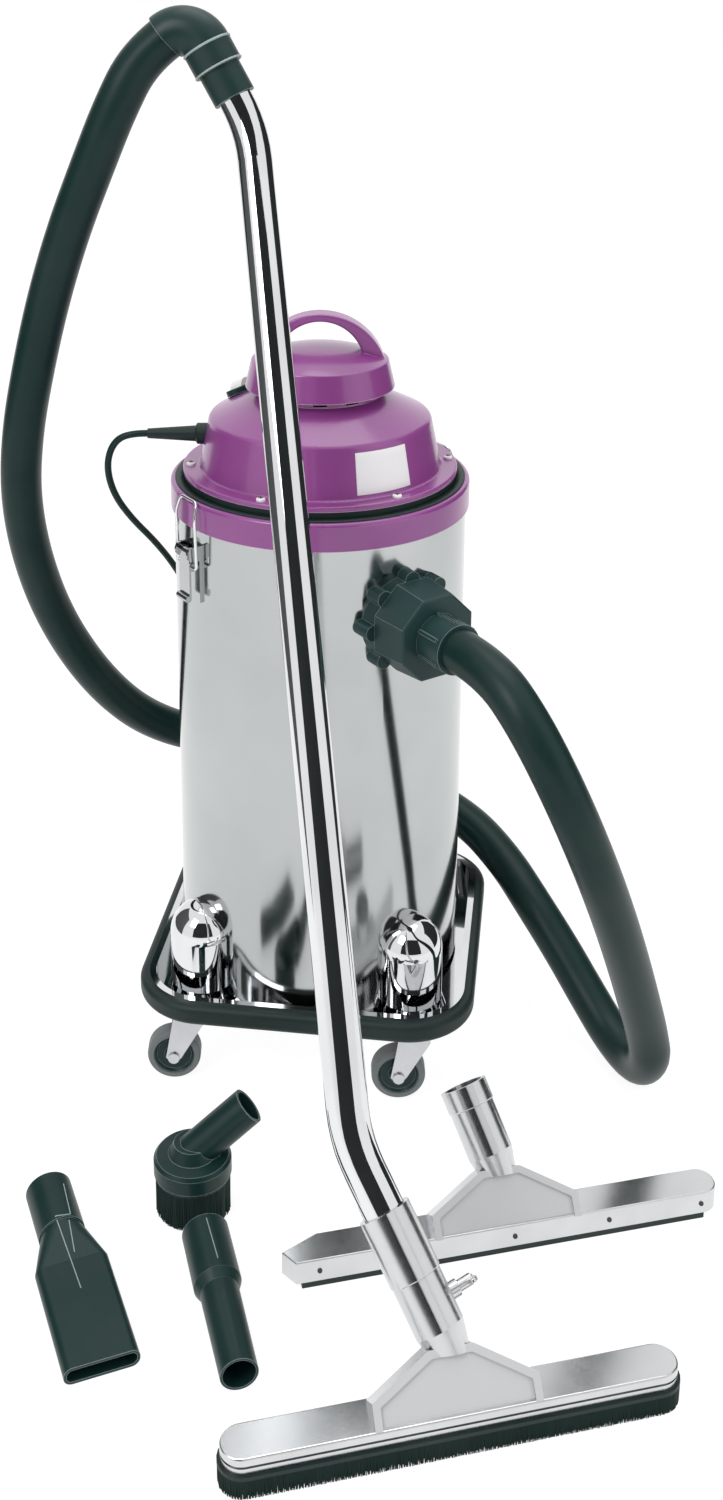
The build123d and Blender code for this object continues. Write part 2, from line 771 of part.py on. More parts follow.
def make_switch_base():
    frame = extrude(SlotOverall(SWITCH_L, SWITCH_W), SWITCH_H)
    frame = fillet(frame.edges().group_by(Axis.Z)[-1], 1.5)
    well = Pos(0, 0, ROCKER_Z) * Rot(90, 0, 0) * Cylinder(ROCKER_R + GAP, ROCKER_W + 2 * GAP)
    window = box(-ROCKER_R - GAP, ROCKER_R + GAP, -ROCKER_W / 2 - GAP, ROCKER_W / 2 + GAP, ROCKER_Z, SWITCH_H + 1)
    floor = box(-SWITCH_L, SWITCH_L, -SWITCH_W, SWITCH_W, -30, 1)
    return SWITCH * (frame - (well - floor) - window)


def make_switch_rocker():
    barrel = Pos(0, 0, ROCKER_Z) * Rot(90, 0, 0) * Cylinder(ROCKER_R, ROCKER_W)
    keep = box(-ROCKER_R, ROCKER_R, -ROCKER_W, ROCKER_W, ROCKER_Z + 2.2, SWITCH_H + ROCKER_R)
    return SWITCH * (barrel & keep)


def make_gland():
    """Tapered strain relief on the housing's left side."""
    share = GLAND_UP / HOUSING_SIDE_H
    root = GLAND_ROOT - HOUSING_BASE_R + HOUSING_TAPER * share
    tip = -HOUSING_BASE_R - GLAND_L
    side = Plane(origin=(0, 0, GLAND_Z), x_dir=(0, 1, 0), z_dir=(-1, 0, 0))
    collar_end = HOUSING_BASE_R + 2
    body = turned(
        (0, -root),
        (GLAND_R + 3, -root),
        (GLAND_R + 3, collar_end),
        (GLAND_R, collar_end + 2),
        (GLAND_TIP_R, -tip),
        (0, -tip),
    )
    solid_core = turned(
        (0, FLANGE_Z),
        (HOUSING_BASE_R, FLANGE_Z),
        (HOUSING_BASE_R, HOUSING_Z),
        (HOUSING_TOP_R, SHOULDER_Z),
        (0, SHOULDER_Z),
    )
    return one(side * body - solid_core)


GLAND_TIP = (-HOUSING_BASE_R - GLAND_L, 0.0, GLAND_Z)


# Motor, fan and float

def make_motor_case():
    inner = CASE_R - CASE_WALL
    bore = SHAFT_R + RUN
    return turned(
        (bore, CASE_Z),
        (CASE_R, CASE_Z),
        (CASE_R, CASE_TOP),
        (16, CASE_TOP),
        (14, CASE_TOP + 6),
        (bore, CASE_TOP + 6),
        (bore, CASE_TOP - CASE_WALL),
        (inner, CASE_TOP - CASE_WALL),
        (inner, CASE_TOP - 10),
        (STATOR_BORE_R, CASE_TOP - 10),
        (STATOR_BORE_R, CASE_Z + 10),
        (inner, CASE_Z + 10),
        (inner, CASE_Z + CASE_WALL),
        (bore, CASE_Z + CASE_WALL),
    )


def make_shroud():
    wall = SHROUD_WALL
    return turned(
        (INTAKE_R, RING_TOP),
        (SHROUD_R, RING_TOP),
        (SHROUD_R, CASE_Z),
        (SHAFT_R + RUN, CASE_Z),
        (SHAFT_R + RUN, CASE_Z - wall),
        (SHROUD_R - wall, CASE_Z - wall),
        (SHROUD_R - wall, RING_TOP + wall),
        (INTAKE_R, RING_TOP + wall),
    )


def make_rotor():
    """Shaft with the rotor core, and the suction fan below it."""
    fan_z = CASE_Z - SHROUD_WALL - 5
    shaft = disc(SHAFT_R, fan_z - FAN_H - 4, CASE_TOP + 4)
    core = disc(ROTOR_R, CASE_Z + 11, CASE_TOP - 11)
    back = disc(FAN_R, fan_z - FAN_T, fan_z, SHAFT_R)
    boss = disc(12, fan_z - FAN_H, fan_z - FAN_T, SHAFT_R)
    vane_path = ThreePointArc((11, 0), (40, 12), (FAN_R - 1, 0))
    vane = extrude(
        Pos(0, 0, fan_z - FAN_H) * make_face(
            [vane_path, Line((FAN_R - 1, 0), (FAN_R - 1, -2)), ThreePointArc((FAN_R - 1, -2), (40, 10), (11, -2)),
             Line((11, -2), (11, 0))]
        ),
        FAN_H - FAN_T,
    )
    fan = one(back + boss + around(vane, FAN_VANES))
    return [one(shaft + core), fan]


def make_float_cage():
    """Slotted cage below the intake, open at its slots, with a seat for the float."""
    wall = CAGE_WALL
    top = PLATE_Z - CAGE_FLANGE_T
    cage = turned(
        (INTAKE_R, top),
        (CAGE_R - wall, top),
        (CAGE_R - wall, CAGE_Z + wall),
        (10, CAGE_Z + wall),
        (10, CAGE_Z),
        (CAGE_R, CAGE_Z),
        (CAGE_R, top),
        (CAGE_FLANGE_R, top),
        (CAGE_FLANGE_R, PLATE_Z),
        (INTAKE_R, PLATE_Z),
    )
    slot = box(CAGE_R - 3 * wall, CAGE_R + wall, -10, 10, CAGE_Z + 14, top - 14)
    return cage - around(slot, CAGE_SLOTS)


FLOAT_REST = CAGE_Z + CAGE_WALL + GAP + FLOAT_R
FLOAT_SEAT = PLATE_Z - CAGE_FLANGE_T - sqrt(FLOAT_R**2 - INTAKE_R**2) - GAP


def make_filter():
    return disc(CAGE_R + FOAM_T, CAGE_Z + 4, PLATE_Z - CAGE_FLANGE_T, CAGE_R)


# Clips

PIN_RADIAL = DRUM_R + CLIP_STANDOFF


def clip_plane(angle):
    """Plane through the drum's axis: X along the tangent, Y up, Z outwards."""
    out = bearing(angle)
    return Plane(origin=(0, 0, 0), x_dir=Vector(0, 0, 1).cross(out), z_dir=out)


def make_clip_bracket():
    half = CLIP_W / 2
    low = CLIP_PIVOT_Z + CLIP_EAR_R - CLIP_PLATE_H
    plate = box(-half, half, low, CLIP_PIVOT_Z + CLIP_EAR_R, DRUM_R - 12, DRUM_R + CLIP_PLATE_T)
    ear = extrude(Plane.YZ * Pos(CLIP_PIVOT_Z, PIN_RADIAL) * Circle(CLIP_EAR_R), CLIP_EAR_T)
    foot = box(0, CLIP_EAR_T, CLIP_PIVOT_Z - CLIP_EAR_R, CLIP_PIVOT_Z + CLIP_EAR_R, DRUM_R - 2, PIN_RADIAL)
    ears = [Pos(half - CLIP_EAR_T, 0, 0) * (ear + foot), Pos(-half, 0, 0) * (ear + foot)]
    pivot = pin((-half, CLIP_PIVOT_Z, PIN_RADIAL), (half, CLIP_PIVOT_Z, PIN_RADIAL), CLIP_PIN_R)
    seat = Rot(90, 0, 0) * Cylinder(DRUM_R, 4 * DRUM_H)
    return one(plate + ears + pivot - seat)


def make_clip_lever():
    half = CLIP_W / 2 - CLIP_EAR_T - GAP
    barrel_r = CLIP_PIN_R + 2.5
    plate_z = PIN_RADIAL + barrel_r - LEVER_T / 2
    barrel = pin((-half, CLIP_PIVOT_Z, PIN_RADIAL), (half, CLIP_PIVOT_Z, PIN_RADIAL), barrel_r)
    strap = box(-half, half, CLIP_PIVOT_Z - LEVER_L, CLIP_PIVOT_Z, plate_z - LEVER_T / 2, plate_z + LEVER_T / 2)
    curl_z = CLIP_PIVOT_Z - LEVER_L
    curl = pin((-half, curl_z, plate_z + LEVER_T), (half, curl_z, plate_z + LEVER_T), 1.5 * LEVER_T)
    hook_y = CLIP_PIVOT_Z - LEVER_CRANK
    eye = pin((-half, hook_y, PIN_RADIAL), (half, hook_y, PIN_RADIAL), barrel_r)
    bore = pin((-half - 1, CLIP_PIVOT_Z, PIN_RADIAL), (half + 1, CLIP_PIVOT_Z, PIN_RADIAL), CLIP_PIN_R + RUN)
    eye_bore = pin((-half - 1, hook_y, PIN_RADIAL), (half + 1, hook_y, PIN_RADIAL), BAIL_WIRE_R + RUN)
    return one(barrel + strap + curl + eye - bore - eye_bore)


def make_clip_bail():
    """Wire loop from the lever's eye up over the ring's edge."""
    low = CLIP_PIVOT_Z - LEVER_CRANK
    top = RING_TOP + BAIL_WIRE_R + 1
    inner = RING_R + GAP + BAIL_WIRE_R + 0.2
    bend_z = RING_TOP - 14
    end = CLIP_W / 2 - CLIP_EAR_T - GAP - 8
    half = BAIL_HALF_W
    loop = FilletPolyline(
        (end, low, PIN_RADIAL),
        (half, low, PIN_RADIAL),
        (half + 1, bend_z, PIN_RADIAL + 2),
        (half - 2, top, inner),
        (-half + 2, top, inner),
        (-half - 1, bend_z, PIN_RADIAL + 2),
        (-half, low, PIN_RADIAL),
        (-end, low, PIN_RADIAL),
        radius=[4, 30, BAIL_CORNER_R, BAIL_CORNER_R, 30, 4],
    )
    return tube_along(loop, BAIL_WIRE_R)


# Floor tools

def tool_plane(at, turn):
    """Floor plane of a tool: X along its length, Y back towards the drum."""
    return Plane(origin=(at[0], at[1], 0), x_dir=(cos(radians(turn)), sin(radians(turn)), 0), z_dir=(0, 0, 1))


def hood_plane(top):
    """Middle plane of a tool's hood, Y up its slope, in the tool's own frame."""
    pitch = radians(NECK_PITCH)
    return Plane(origin=(0, 0, top), x_dir=(1, 0, 0), z_dir=(0, -sin(pitch), cos(pitch)))


def neck_tilt(lean):
    """Location of the neck's root in the hood's plane, Y along the neck."""
    return Pos(0, NECK_PIVOT, 0) * Rot(0, 0, lean)


def hood_outline():
    """Hood's front outline in its middle plane."""
    return make_face(
        Polyline(
            (-HOOD_HALF, -HOOD_T),
            (HOOD_HALF, -HOOD_T),
            (HOOD_HALF, HOOD_SIDE),
            (HOOD_APEX_HALF, HOOD_RISE),
            (-HOOD_APEX_HALF, HOOD_RISE),
            (-HOOD_HALF, HOOD_SIDE),
            close=True,
        )
    )


def make_hood(top, lean, neck_end, collar_l, bore_from):
    """Flat funnel with a sunk front panel that narrows into a round leaning neck with a stepped bore."""
    hood = extrude(hood_outline(), HOOD_T / 2, both=True)
    hood = fillet(hood.edges().filter_by(Axis.Z).group_by(Axis.Y)[-1], 2 * HOOD_ROUND)
    hood = fillet(hood.faces().sort_by(Axis.Z)[0].edges().sort_by(Axis.Y)[1:], HOOD_ROUND)
    panel = offset(hood_outline(), -HOOD_RIM, kind=Kind.INTERSECTION)
    panel = Pos(0, 0, HOOD_T / 2 - HOOD_INSET) * extrude(panel, HOOD_T)
    tilt = neck_tilt(lean) * Rot(-90, 0, 0)
    neck = turned(
        (0, -TOOL_NECK_FLARE),
        (HOOD_T / 2 - HOOD_INSET - 1, -TOOL_NECK_FLARE),
        (TOOL_NECK_R, TOOL_NECK_FLARE / 3),
        (TOOL_NECK_R, neck_end),
        (0, neck_end),
    )
    collar = disc(TOOL_NECK_R + NECK_COLLAR_OVER, neck_end - collar_l, neck_end)
    collar = rounded_rim(collar, NECK_COLLAR_OVER, TOOL_NECK_R + NECK_COLLAR_OVER, neck_end - collar_l)
    throat = disc(WAND_R_LOW - THROAT_STEP, 0, neck_end + 1)
    seat = disc(WAND_R_LOW, bore_from, neck_end + 1)
    casting = hood + tilt * neck - panel + tilt * collar - tilt * throat - tilt * seat
    below = box(-2 * HOOD_HALF, 2 * HOOD_HALF, -2 * HOOD_HALF, 2 * HOOD_HALF, -2 * HOOD_HALF, top - 1)
    return hood_plane(top) * casting - below


def neck_point(at, turn, top, lean, distance):
    """Point on a tool's neck axis, in the object's frame."""
    local = hood_plane(top).from_local_coords(
        Vector(-sin(radians(lean)) * distance, NECK_PIVOT + cos(radians(lean)) * distance, 0)
    )
    return tool_plane(at, turn).from_local_coords(local)


def slot_plate(length, width, z0, z1):
    return Pos(0, 0, z0) * extrude(SlotOverall(length, width), z1 - z0)


PLATE_UNDER = TOOL_TOP - TOOL_PLATE_T
SKIRT_TOP = PLATE_UNDER - TOOL_GROOVE
BRUSH_TOP = SKIRT_TOP - TOOL_SKIRT
THUMB_SEAT = TOOL_NECK_R + NECK_COLLAR_OVER + THUMB_BOSS_L


def thumb_place():
    """Location of the thumb screw in the tool's frame, Z outwards from the neck's axis."""
    return hood_plane(TOOL_TOP).location * neck_tilt(NECK_LEAN) * Pos(0, THUMB_AT, 0) * Rot(0, 90, 0)


def make_floor_tool():
    plate = slot_plate(TOOL_L, TOOL_W, PLATE_UNDER, TOOL_TOP)
    plate = fillet(plate.edges().group_by(Axis.Z)[-1], 2)
    groove = slot_plate(TOOL_L - 8, TOOL_W - 8, SKIRT_TOP, PLATE_UNDER)
    skirt = slot_plate(TOOL_L, TOOL_W, BRUSH_TOP, SKIRT_TOP)
    hood = make_hood(TOOL_TOP, NECK_LEAN, TOOL_NECK_END, NECK_COLLAR_L, WAND_SEAT)
    body = plate + groove + skirt + hood
    plane = thumb_place()
    boss = plane * disc(THUMB_BOSS_R, WAND_R_LOW + 1, THUMB_SEAT)
    hole = plane * disc(THUMB_STUD_R + RUN, 0, 2 * THUMB_SEAT)
    return tool_plane(TOOL_AT, TOOL_TURN) * one(body + boss - hole)


def make_thumb_screw():
    start = WAND_R_LOW + GAP
    head = THUMB_SEAT + GAP
    stud = disc(THUMB_STUD_R, start, head)
    barrel = disc(THUMB_STUD_R + 2.5, head, head + THUMB_L)
    wing = Pos(0, 0, head + THUMB_L - 1) * Rot(90, 0, 0) * extrude(
        Pos(WING_L / 2, 0) * Ellipse(WING_L / 2, WING_L / 3), WING_T / 2, both=True
    )
    wing = fillet(wing.edges(), WING_T / 4)
    return tool_plane(TOOL_AT, TOOL_TURN) * thumb_place() * one(stud + barrel + [wing, Rot(0, 0, 180) * wing])


def strand_ring(points, height, z):
    """Square strands standing at points along a line."""
    return [Pos(x, y, z) * Rot(0, 0, turn) * Box(STRAND, STRAND, height) for x, y, turn in points]


def slot_points(length, width):
    """Evenly spaced points and headings along a long hole's outline."""
    straight = length - width
    radius = width / 2
    whole = 2 * straight + 2 * pi * radius
    count = 2 * int(whole / STRAND_PITCH / 2)
    points = []
    for k in range(count):
        s = (k + 0.5) * whole / count
        if s < straight:
            points.append((s - straight / 2, -radius, 0.0))
        elif s < straight + pi * radius:
            a = (s - straight) / radius - pi / 2
            points.append((straight / 2 + radius * cos(a), radius * sin(a), degrees(a)))
        elif s < 2 * straight + pi * radius:
            points.append((1.5 * straight + pi * radius - s, radius, 0.0))
        else:
            a = (s - 2 * straight - pi * radius) / radius + pi / 2
            points.append((-straight / 2 + radius * cos(a), radius * sin(a), degrees(a)))
    return points


def make_floor_brush():
    """Bristle strip round the plate's edge, fused to the slice that holds it."""
    back = slot_plate(TOOL_L + BRUSH_OVER, TOOL_W + BRUSH_OVER, BRUSH_TOP - BRUSH_BACK, BRUSH_TOP)
    tall = BRUSH_TOP - BRUSH_BACK / 2
    line = slot_points(TOOL_L + BRUSH_OVER - 2 * STRAND, TOOL_W + BRUSH_OVER - 2 * STRAND)
    brush = back.fuse(*strand_ring(line, tall, tall / 2))
    return tool_plane(TOOL_AT, TOOL_TURN) * one(brush)


def squeegee_outline(inset):
    """Squeegee's outline in plan: a cut-off left end and a rounded right end."""
    end = SQUEEGEE_L / 2
    edge = SQUEEGEE_W / 2
    outline = make_face(
        Polyline(
            (-end, 0),
            (-end + SQUEEGEE_NOSE, -edge),
            (end, -edge),
            (end, edge),
            (-end + SQUEEGEE_CHAMFER, edge),
            close=True,
        )
    )
    outline = fillet(outline.vertices().group_by(Axis.X)[-1], SQUEEGEE_END_R)
    return offset(outline, -inset, kind=Kind.INTERSECTION) if inset else outline


def make_squeegee():
    under = SQUEEGEE_TOP - SQUEEGEE_PLATE_T
    low = SQUEEGEE_TOP - SQUEEGEE_SKIRT_H
    plate = Pos(0, 0, under) * extrude(squeegee_outline(0), SQUEEGEE_PLATE_T)
    plate = fillet(plate.edges().group_by(Axis.Z)[-1], 1.5)
    skirt = extrude(squeegee_outline(0), under - low) - extrude(squeegee_outline(SQUEEGEE_WALL), under - low)
    hood = make_hood(SQUEEGEE_TOP, SQUEEGEE_LEAN, SQUEEGEE_NECK_END, SQUEEGEE_COLLAR_L, SQUEEGEE_BORE_FROM)
    return tool_plane(SQUEEGEE_AT, SQUEEGEE_TURN) * one(plate + Pos(0, 0, low) * skirt + hood)


def make_blades():
    """Two rubber lips, each inside the skirt and under its edge."""
    edge = SQUEEGEE_W / 2
    inner = edge - SQUEEGEE_WALL
    under = SQUEEGEE_TOP - SQUEEGEE_PLATE_T
    low = SQUEEGEE_TOP - SQUEEGEE_SKIRT_H
    half = SQUEEGEE_L / 2 - BLADE_END
    floor = tool_plane(SQUEEGEE_AT, SQUEEGEE_TURN)
    front = box(-half, half, -inner, -inner + BLADE_T, 0, under)
    front += box(-half, half, -edge + BLADE_BACK, -inner + BLADE_T, 0, low)
    start = -half + SQUEEGEE_CHAMFER
    back = box(start, half, inner - BLADE_T, inner, 0, under)
    back += box(start, half, inner - BLADE_T, edge - BLADE_BACK, 0, low)
    return [floor * front, floor * back]


# Wand

NECK = (TOOL_AT, TOOL_TURN, TOOL_TOP, NECK_LEAN)
WAND_FOOT = neck_point(*NECK, WAND_SEAT)
WAND_LOWER_BEND = neck_point(*NECK, TOOL_NECK_END + WAND_KNEE)


def make_wand():
    """Chromed S-bent tube, a little wider towards the floor tool."""
    path = FilletPolyline(
        WAND_FOOT, WAND_LOWER_BEND, Vector(*WAND_UPPER_BEND), Vector(*WAND_TOP), radius=[WAND_FOOT_BEND_R, WAND_BEND_R]
    )
    foot, low_arc, straight, high_arc, top = path.edges()
    pieces = []
    for wall in (0, WAND_WALL):
        low = WAND_R_LOW - wall
        high = WAND_R_TOP - wall
        cone = loft(
            [
                Plane(origin=straight @ 0, z_dir=straight % 0) * Circle(low),
                Plane(origin=straight @ 1, z_dir=straight % 1) * Circle(high),
            ]
        )
        runs = [tube_along(e, low) for e in (foot, low_arc)] + [cone] + [tube_along(e, high) for e in (high_arc, top)]
        pieces.append(runs[0].fuse(*runs[1:]))
    outer, inner = pieces
    return one(outer - inner)


WAND_UP = (Vector(*WAND_TOP) - Vector(*WAND_UPPER_BEND)).normalized()
ELBOW_START = Vector(*WAND_TOP) + WAND_UP * WAND_SLEEVE_L
ELBOW_SIDE = Vector(-cos(radians(10)), sin(radians(10)), 0)
ELBOW_IN_PLANE = (ELBOW_SIDE - WAND_UP * ELBOW_SIDE.dot(WAND_UP)).normalized()
ELBOW_CENTRE = ELBOW_START + ELBOW_IN_PLANE * ELBOW_R


def elbow_point(turn):
    a = radians(turn)
    return ELBOW_CENTRE - ELBOW_IN_PLANE * (ELBOW_R * cos(a)) + WAND_UP * (ELBOW_R * sin(a))


def elbow_heading(turn):
    a = radians(turn)
    return ELBOW_IN_PLANE * sin(a) + WAND_UP * cos(a)


HOSE_END = elbow_point(ELBOW_TURN)
HOSE_END_HEADING = elbow_heading(ELBOW_TURN)


def make_wand_cuff():
    """Stepped sleeve on the wand's top with a tight elbow for the hose."""
    wand_axis = Plane(origin=WAND_TOP, z_dir=WAND_UP)
    sleeve = wand_axis * disc(WAND_CUFF_R, -WAND_CUFF_L, 0, WAND_R_TOP)
    step = wand_axis * disc(WAND_SLEEVE_R, 0, WAND_SLEEVE_L, WAND_R_TOP - WAND_WALL)
    arc = ThreePointArc(ELBOW_START, elbow_point(ELBOW_TURN / 2), HOSE_END)
    bend = tube_along(arc, WAND_SLEEVE_R, WAND_R_TOP - WAND_WALL)
    return one(sleeve + step + bend)


# Hose and cord

def make_hose():
    start = INLET.origin + INLET.z_dir * CUFF_END
    first = start + INLET.z_dir * 55
    last = HOSE_END + HOSE_END_HEADING * 36
    return tube_along(routed([start, first, *HOSE_ROUTE, last, HOSE_END], "hose", 2 * HOSE_R), HOSE_R, HOSE_R - HOSE_WALL)


COIL_FLOOR = TIE_T + CORD_R + GAP
COIL_FRAME = Plane(origin=(COIL_AT[0], COIL_AT[1], 0), x_dir=(0, -1, 0), z_dir=(0, 0, 1))


def coil_stops():
    """Where the coil crosses its own X axis: one stop each half turn, from the top layer down."""
    stops = []
    side = 1
    radius = COIL_R
    step = -COIL_PITCH / 2
    for layer in range(COIL_LAYERS):
        z = COIL_FLOOR + (COIL_LAYERS - 1 - layer) * COIL_PITCH
        for k in range(2 * COIL_LOOPS):
            stops.append((side * radius, z))
            side = -side
            before_climb = k == 2 * COIL_LOOPS - 1 and layer < COIL_LAYERS - 1
            after_climb = k == 0 and layer > 0
            radius += 1.5 * step if before_climb or after_climb else step
        stops.append((side * radius, z))
        side = -side
        step = -step
    return stops


def coil_point(x, y, z):
    return COIL_FRAME.from_local_coords(Vector(x, y, z))


def make_coil():
    """One unbroken tube of loops, spiralling in and out in layers, with a tail to the plug."""
    stops = coil_stops()
    along = COIL_FRAME.y_dir
    edges = []
    heading = 1
    for (x0, z0), (x1, z1) in zip(stops, stops[1:]):
        centre = (x0 + x1) / 2
        radius = abs(x1 - x0) / 2
        start = coil_point(x0, 0, z0)
        end = coil_point(x1, 0, z1)
        peak = sqrt(radius**2 + (z1 - z0) ** 2 / 4)
        middle = coil_point(centre, heading * peak, (z0 + z1) / 2)
        if z0 == z1:
            edges.append(ThreePointArc(start, middle, end))
        else:
            first = TangentArc(start, middle, tangent=along * heading)
            edges += [first, TangentArc(middle, end, tangent=first % 1)]
        heading = -heading
    x1, z1 = stops[-1]
    rise = (PLUG_SLEEVE_R + 0.5 - z1) / 2
    first = TangentArc(
        coil_point(x1, 0, z1), coil_point(x1, heading * PLUG_TAIL / 2, z1 + rise), tangent=along * heading
    )
    last = TangentArc(first @ 1, coil_point(x1, heading * PLUG_TAIL, z1 + 2 * rise), tangent=first % 1)
    edges += [first, last]
    path = Wire(edges)
    samples = [e @ (k / 20) for e in edges for k in range(20)]
    gap = least_gap(samples, 3 * CORD_R)
    print(f"coil: {path.length:.0f} mm in {COIL_LAYERS * COIL_LOOPS} loops, least gap to itself {gap:.2f} mm")
    return tube_along(path, CORD_R), last @ 1, last % 1


def least_gap(points, along):
    """Least distance between the skins of a tube at points that lie apart along it."""
    best = 1e9
    lengths = [0.0]
    for a, b in zip(points, points[1:]):
        lengths.append(lengths[-1] + (b - a).length)
    for i, a in enumerate(points):
        for j in range(i + 1, len(points)):
            if lengths[j] - lengths[i] > along:
                best = min(best, (points[j] - a).length)
    return best - 2 * CORD_R


def make_cord():
    x0, z0 = coil_stops()[0]
    start = Vector(*GLAND_TIP) + Vector(-GAP, 0, 0)
    points = [start, *CORD_ROUTE, coil_point(x0, -22, z0), coil_point(x0, 0, z0)]
    return tube_along(routed(points, "mains cord", 2 * CORD_R), CORD_R)


def make_tie():
    inner = COIL_R - (COIL_LOOPS + 0.5) * COIL_PITCH - CORD_R - GAP
    outer = COIL_R + COIL_PITCH / 2 + CORD_R + GAP
    low = COIL_FLOOR - CORD_R - GAP
    high = COIL_FLOOR + (COIL_LAYERS - 1) * COIL_PITCH + CORD_R + GAP
    band = box(inner - TIE_T, outer + TIE_T, -TIE_W / 2, TIE_W / 2, low - TIE_T, high + TIE_T)
    band -= box(inner, outer, -TIE_W, TIE_W, low, high)
    return Pos(*COIL_AT, 0) * Rot(0, 0, TIE_BEARING) * band


def make_plug(end, heading):
    """Two-pin plug lying on its flat side, with a tapered sleeve for the cord."""
    axis = Plane(origin=end, x_dir=heading.cross(Vector(0, 0, 1)), z_dir=heading)
    sleeve = turned((0, 0), (CORD_R + 1, 0), (PLUG_SLEEVE_R, PLUG_SLEEVE_L), (0, PLUG_SLEEVE_L))
    lift = PLUG_H / 2 - end.Z
    up = -1 if axis.y_dir.Z < 0 else 1
    shift = Pos(0, up * lift, 0)
    back = Pos(0, 0, PLUG_SLEEVE_L - 2) * near_round(PLUG_SLEEVE_R)
    front = shift * Pos(0, 0, PLUG_SLEEVE_L + PLUG_L) * RectangleRounded(PLUG_W, PLUG_H, 9)
    waist = shift * Pos(0, 0, PLUG_SLEEVE_L + PLUG_L * 0.4) * RectangleRounded(PLUG_W * 0.8, PLUG_H * 0.84, 9)
    body = loft([back, waist, front])
    pins = [
        shift * Pos(side * PLUG_PIN_SPACING / 2, 0, PLUG_SLEEVE_L + PLUG_L - 1) * disc(PLUG_PIN_R, 0, PLUG_PIN_L + 1)
        for side in (-1, 1)
    ]
    return axis * one(sleeve + body + pins)


# Loose nozzles

def laid(solid, at, turn, drop, run):
    """Lays a nozzle modelled along +X on the floor, resting on its socket's front edge and on its tip."""
    tipped = Rot(0, degrees(atan2(drop, run)), 0) * solid
    tipped = Pos(0, 0, -tipped.bounding_box().min.Z) * tipped
    return Pos(at[0], at[1], 0) * Rot(0, 0, turn) * tipped


ALONG_X = Plane(origin=(0, 0, 0), x_dir=(0, 1, 0), z_dir=(1, 0, 0))


def make_flat_nozzle():
    shoulder = FLAT_SOCKET_L + FLAT_SHOULDER_L
    end = shoulder + FLAT_BLADE_L
    drop = SOCKET_R - FLAT_T / 2
    socket = disc(SOCKET_R, 0, FLAT_SOCKET_L)
    mouth = RectangleRounded(FLAT_W, FLAT_T, FLAT_T / 2 - 1)
    round_end = Pos(0, 0, FLAT_SOCKET_L) * near_round(SOCKET_R - 2)
    funnel = loft([round_end, Pos(0, 0, shoulder) * mouth])
    blade = extrude(Pos(0, 0, shoulder) * mouth, FLAT_BLADE_L)
    slit = RectangleRounded(FLAT_W - 2 * FLAT_WALL, FLAT_T - 2 * FLAT_WALL, FLAT_T / 2 - FLAT_WALL - 1)
    inner_round = Pos(0, 0, FLAT_SOCKET_L - 2) * near_round(SOCKET_BORE_R - 4)
    hollow = loft([inner_round, Pos(0, 0, shoulder) * slit])
    hollow += extrude(Pos(0, 0, shoulder) * slit, FLAT_BLADE_L + 1)
    hollow += disc(SOCKET_BORE_R, -1, FLAT_SOCKET_L - 2)
    nozzle = one(socket + funnel + blade - hollow)
    return laid(ALONG_X * nozzle, FLAT_AT, FLAT_TURN, drop, end - FLAT_SOCKET_L)


def make_round_nozzle():
    step = ROUND_SOCKET_L + ROUND_STEP_L
    end = step + ROUND_TUBE_L
    bore = ROUND_TUBE_R - ROUND_WALL
    nozzle = turned(
        (SOCKET_BORE_R, 0),
        (SOCKET_R, 0),
        (SOCKET_R, ROUND_SOCKET_L),
        (ROUND_TUBE_R, step),
        (ROUND_TUBE_R - ROUND_TAPER, end),
        (bore - ROUND_TAPER, end),
        (bore, ROUND_SOCKET_L),
        (SOCKET_BORE_R, ROUND_SOCKET_L - 4),
    )
    reach = 4 * ROUND_TUBE_R
    cutter = Pos(0, -ROUND_TUBE_R, end) * Rot(ROUND_SLANT, 0, 0) * box(-reach, reach, -reach, reach, 0, reach)
    nozzle = one(nozzle - cutter)
    drop = SOCKET_R - ROUND_TUBE_R + ROUND_TAPER
    return laid(ALONG_X * Rot(0, 0, -90) * nozzle, ROUND_AT, ROUND_TURN, drop, end - ROUND_SOCKET_L)


def dust_neck():
    """Direction of the dusting brush's neck."""
    lean = radians(DUST_NECK_LEAN)
    turn = radians(DUST_NECK_TURN)
    return Vector(sin(lean) * cos(turn), sin(lean) * sin(turn), cos(lean))


DUST_CAP_Z = DUST_BRISTLE_H + DUST_BACK
DUST_NECK_ROOT = Vector(DUST_AT[0], DUST_AT[1], DUST_CAP_Z + DUST_CAP_H)
DUST_NECK_END = DUST_NECK_ROOT + dust_neck() * DUST_NECK_L


def make_dust_brush():
    top = DUST_CAP_Z + DUST_CAP_H
    cap = turned(
        (0, DUST_CAP_Z),
        (DUST_R, DUST_CAP_Z),
        (DUST_R, top - 4),
        (DUST_R - 3, top),
        (DUST_NECK_R + 6, top + 2),
        (DUST_NECK_R, top + DUST_SHOULDER_H),
        (0, top + DUST_SHOULDER_H),
    )
    cap = Pos(*DUST_AT, 0) * cap
    neck = pin(DUST_NECK_ROOT, DUST_NECK_END, DUST_NECK_R)
    bore = pin(DUST_NECK_ROOT + dust_neck() * 22, DUST_NECK_END + dust_neck(), DUST_NECK_BORE_R)
    return one(cap + neck - bore)


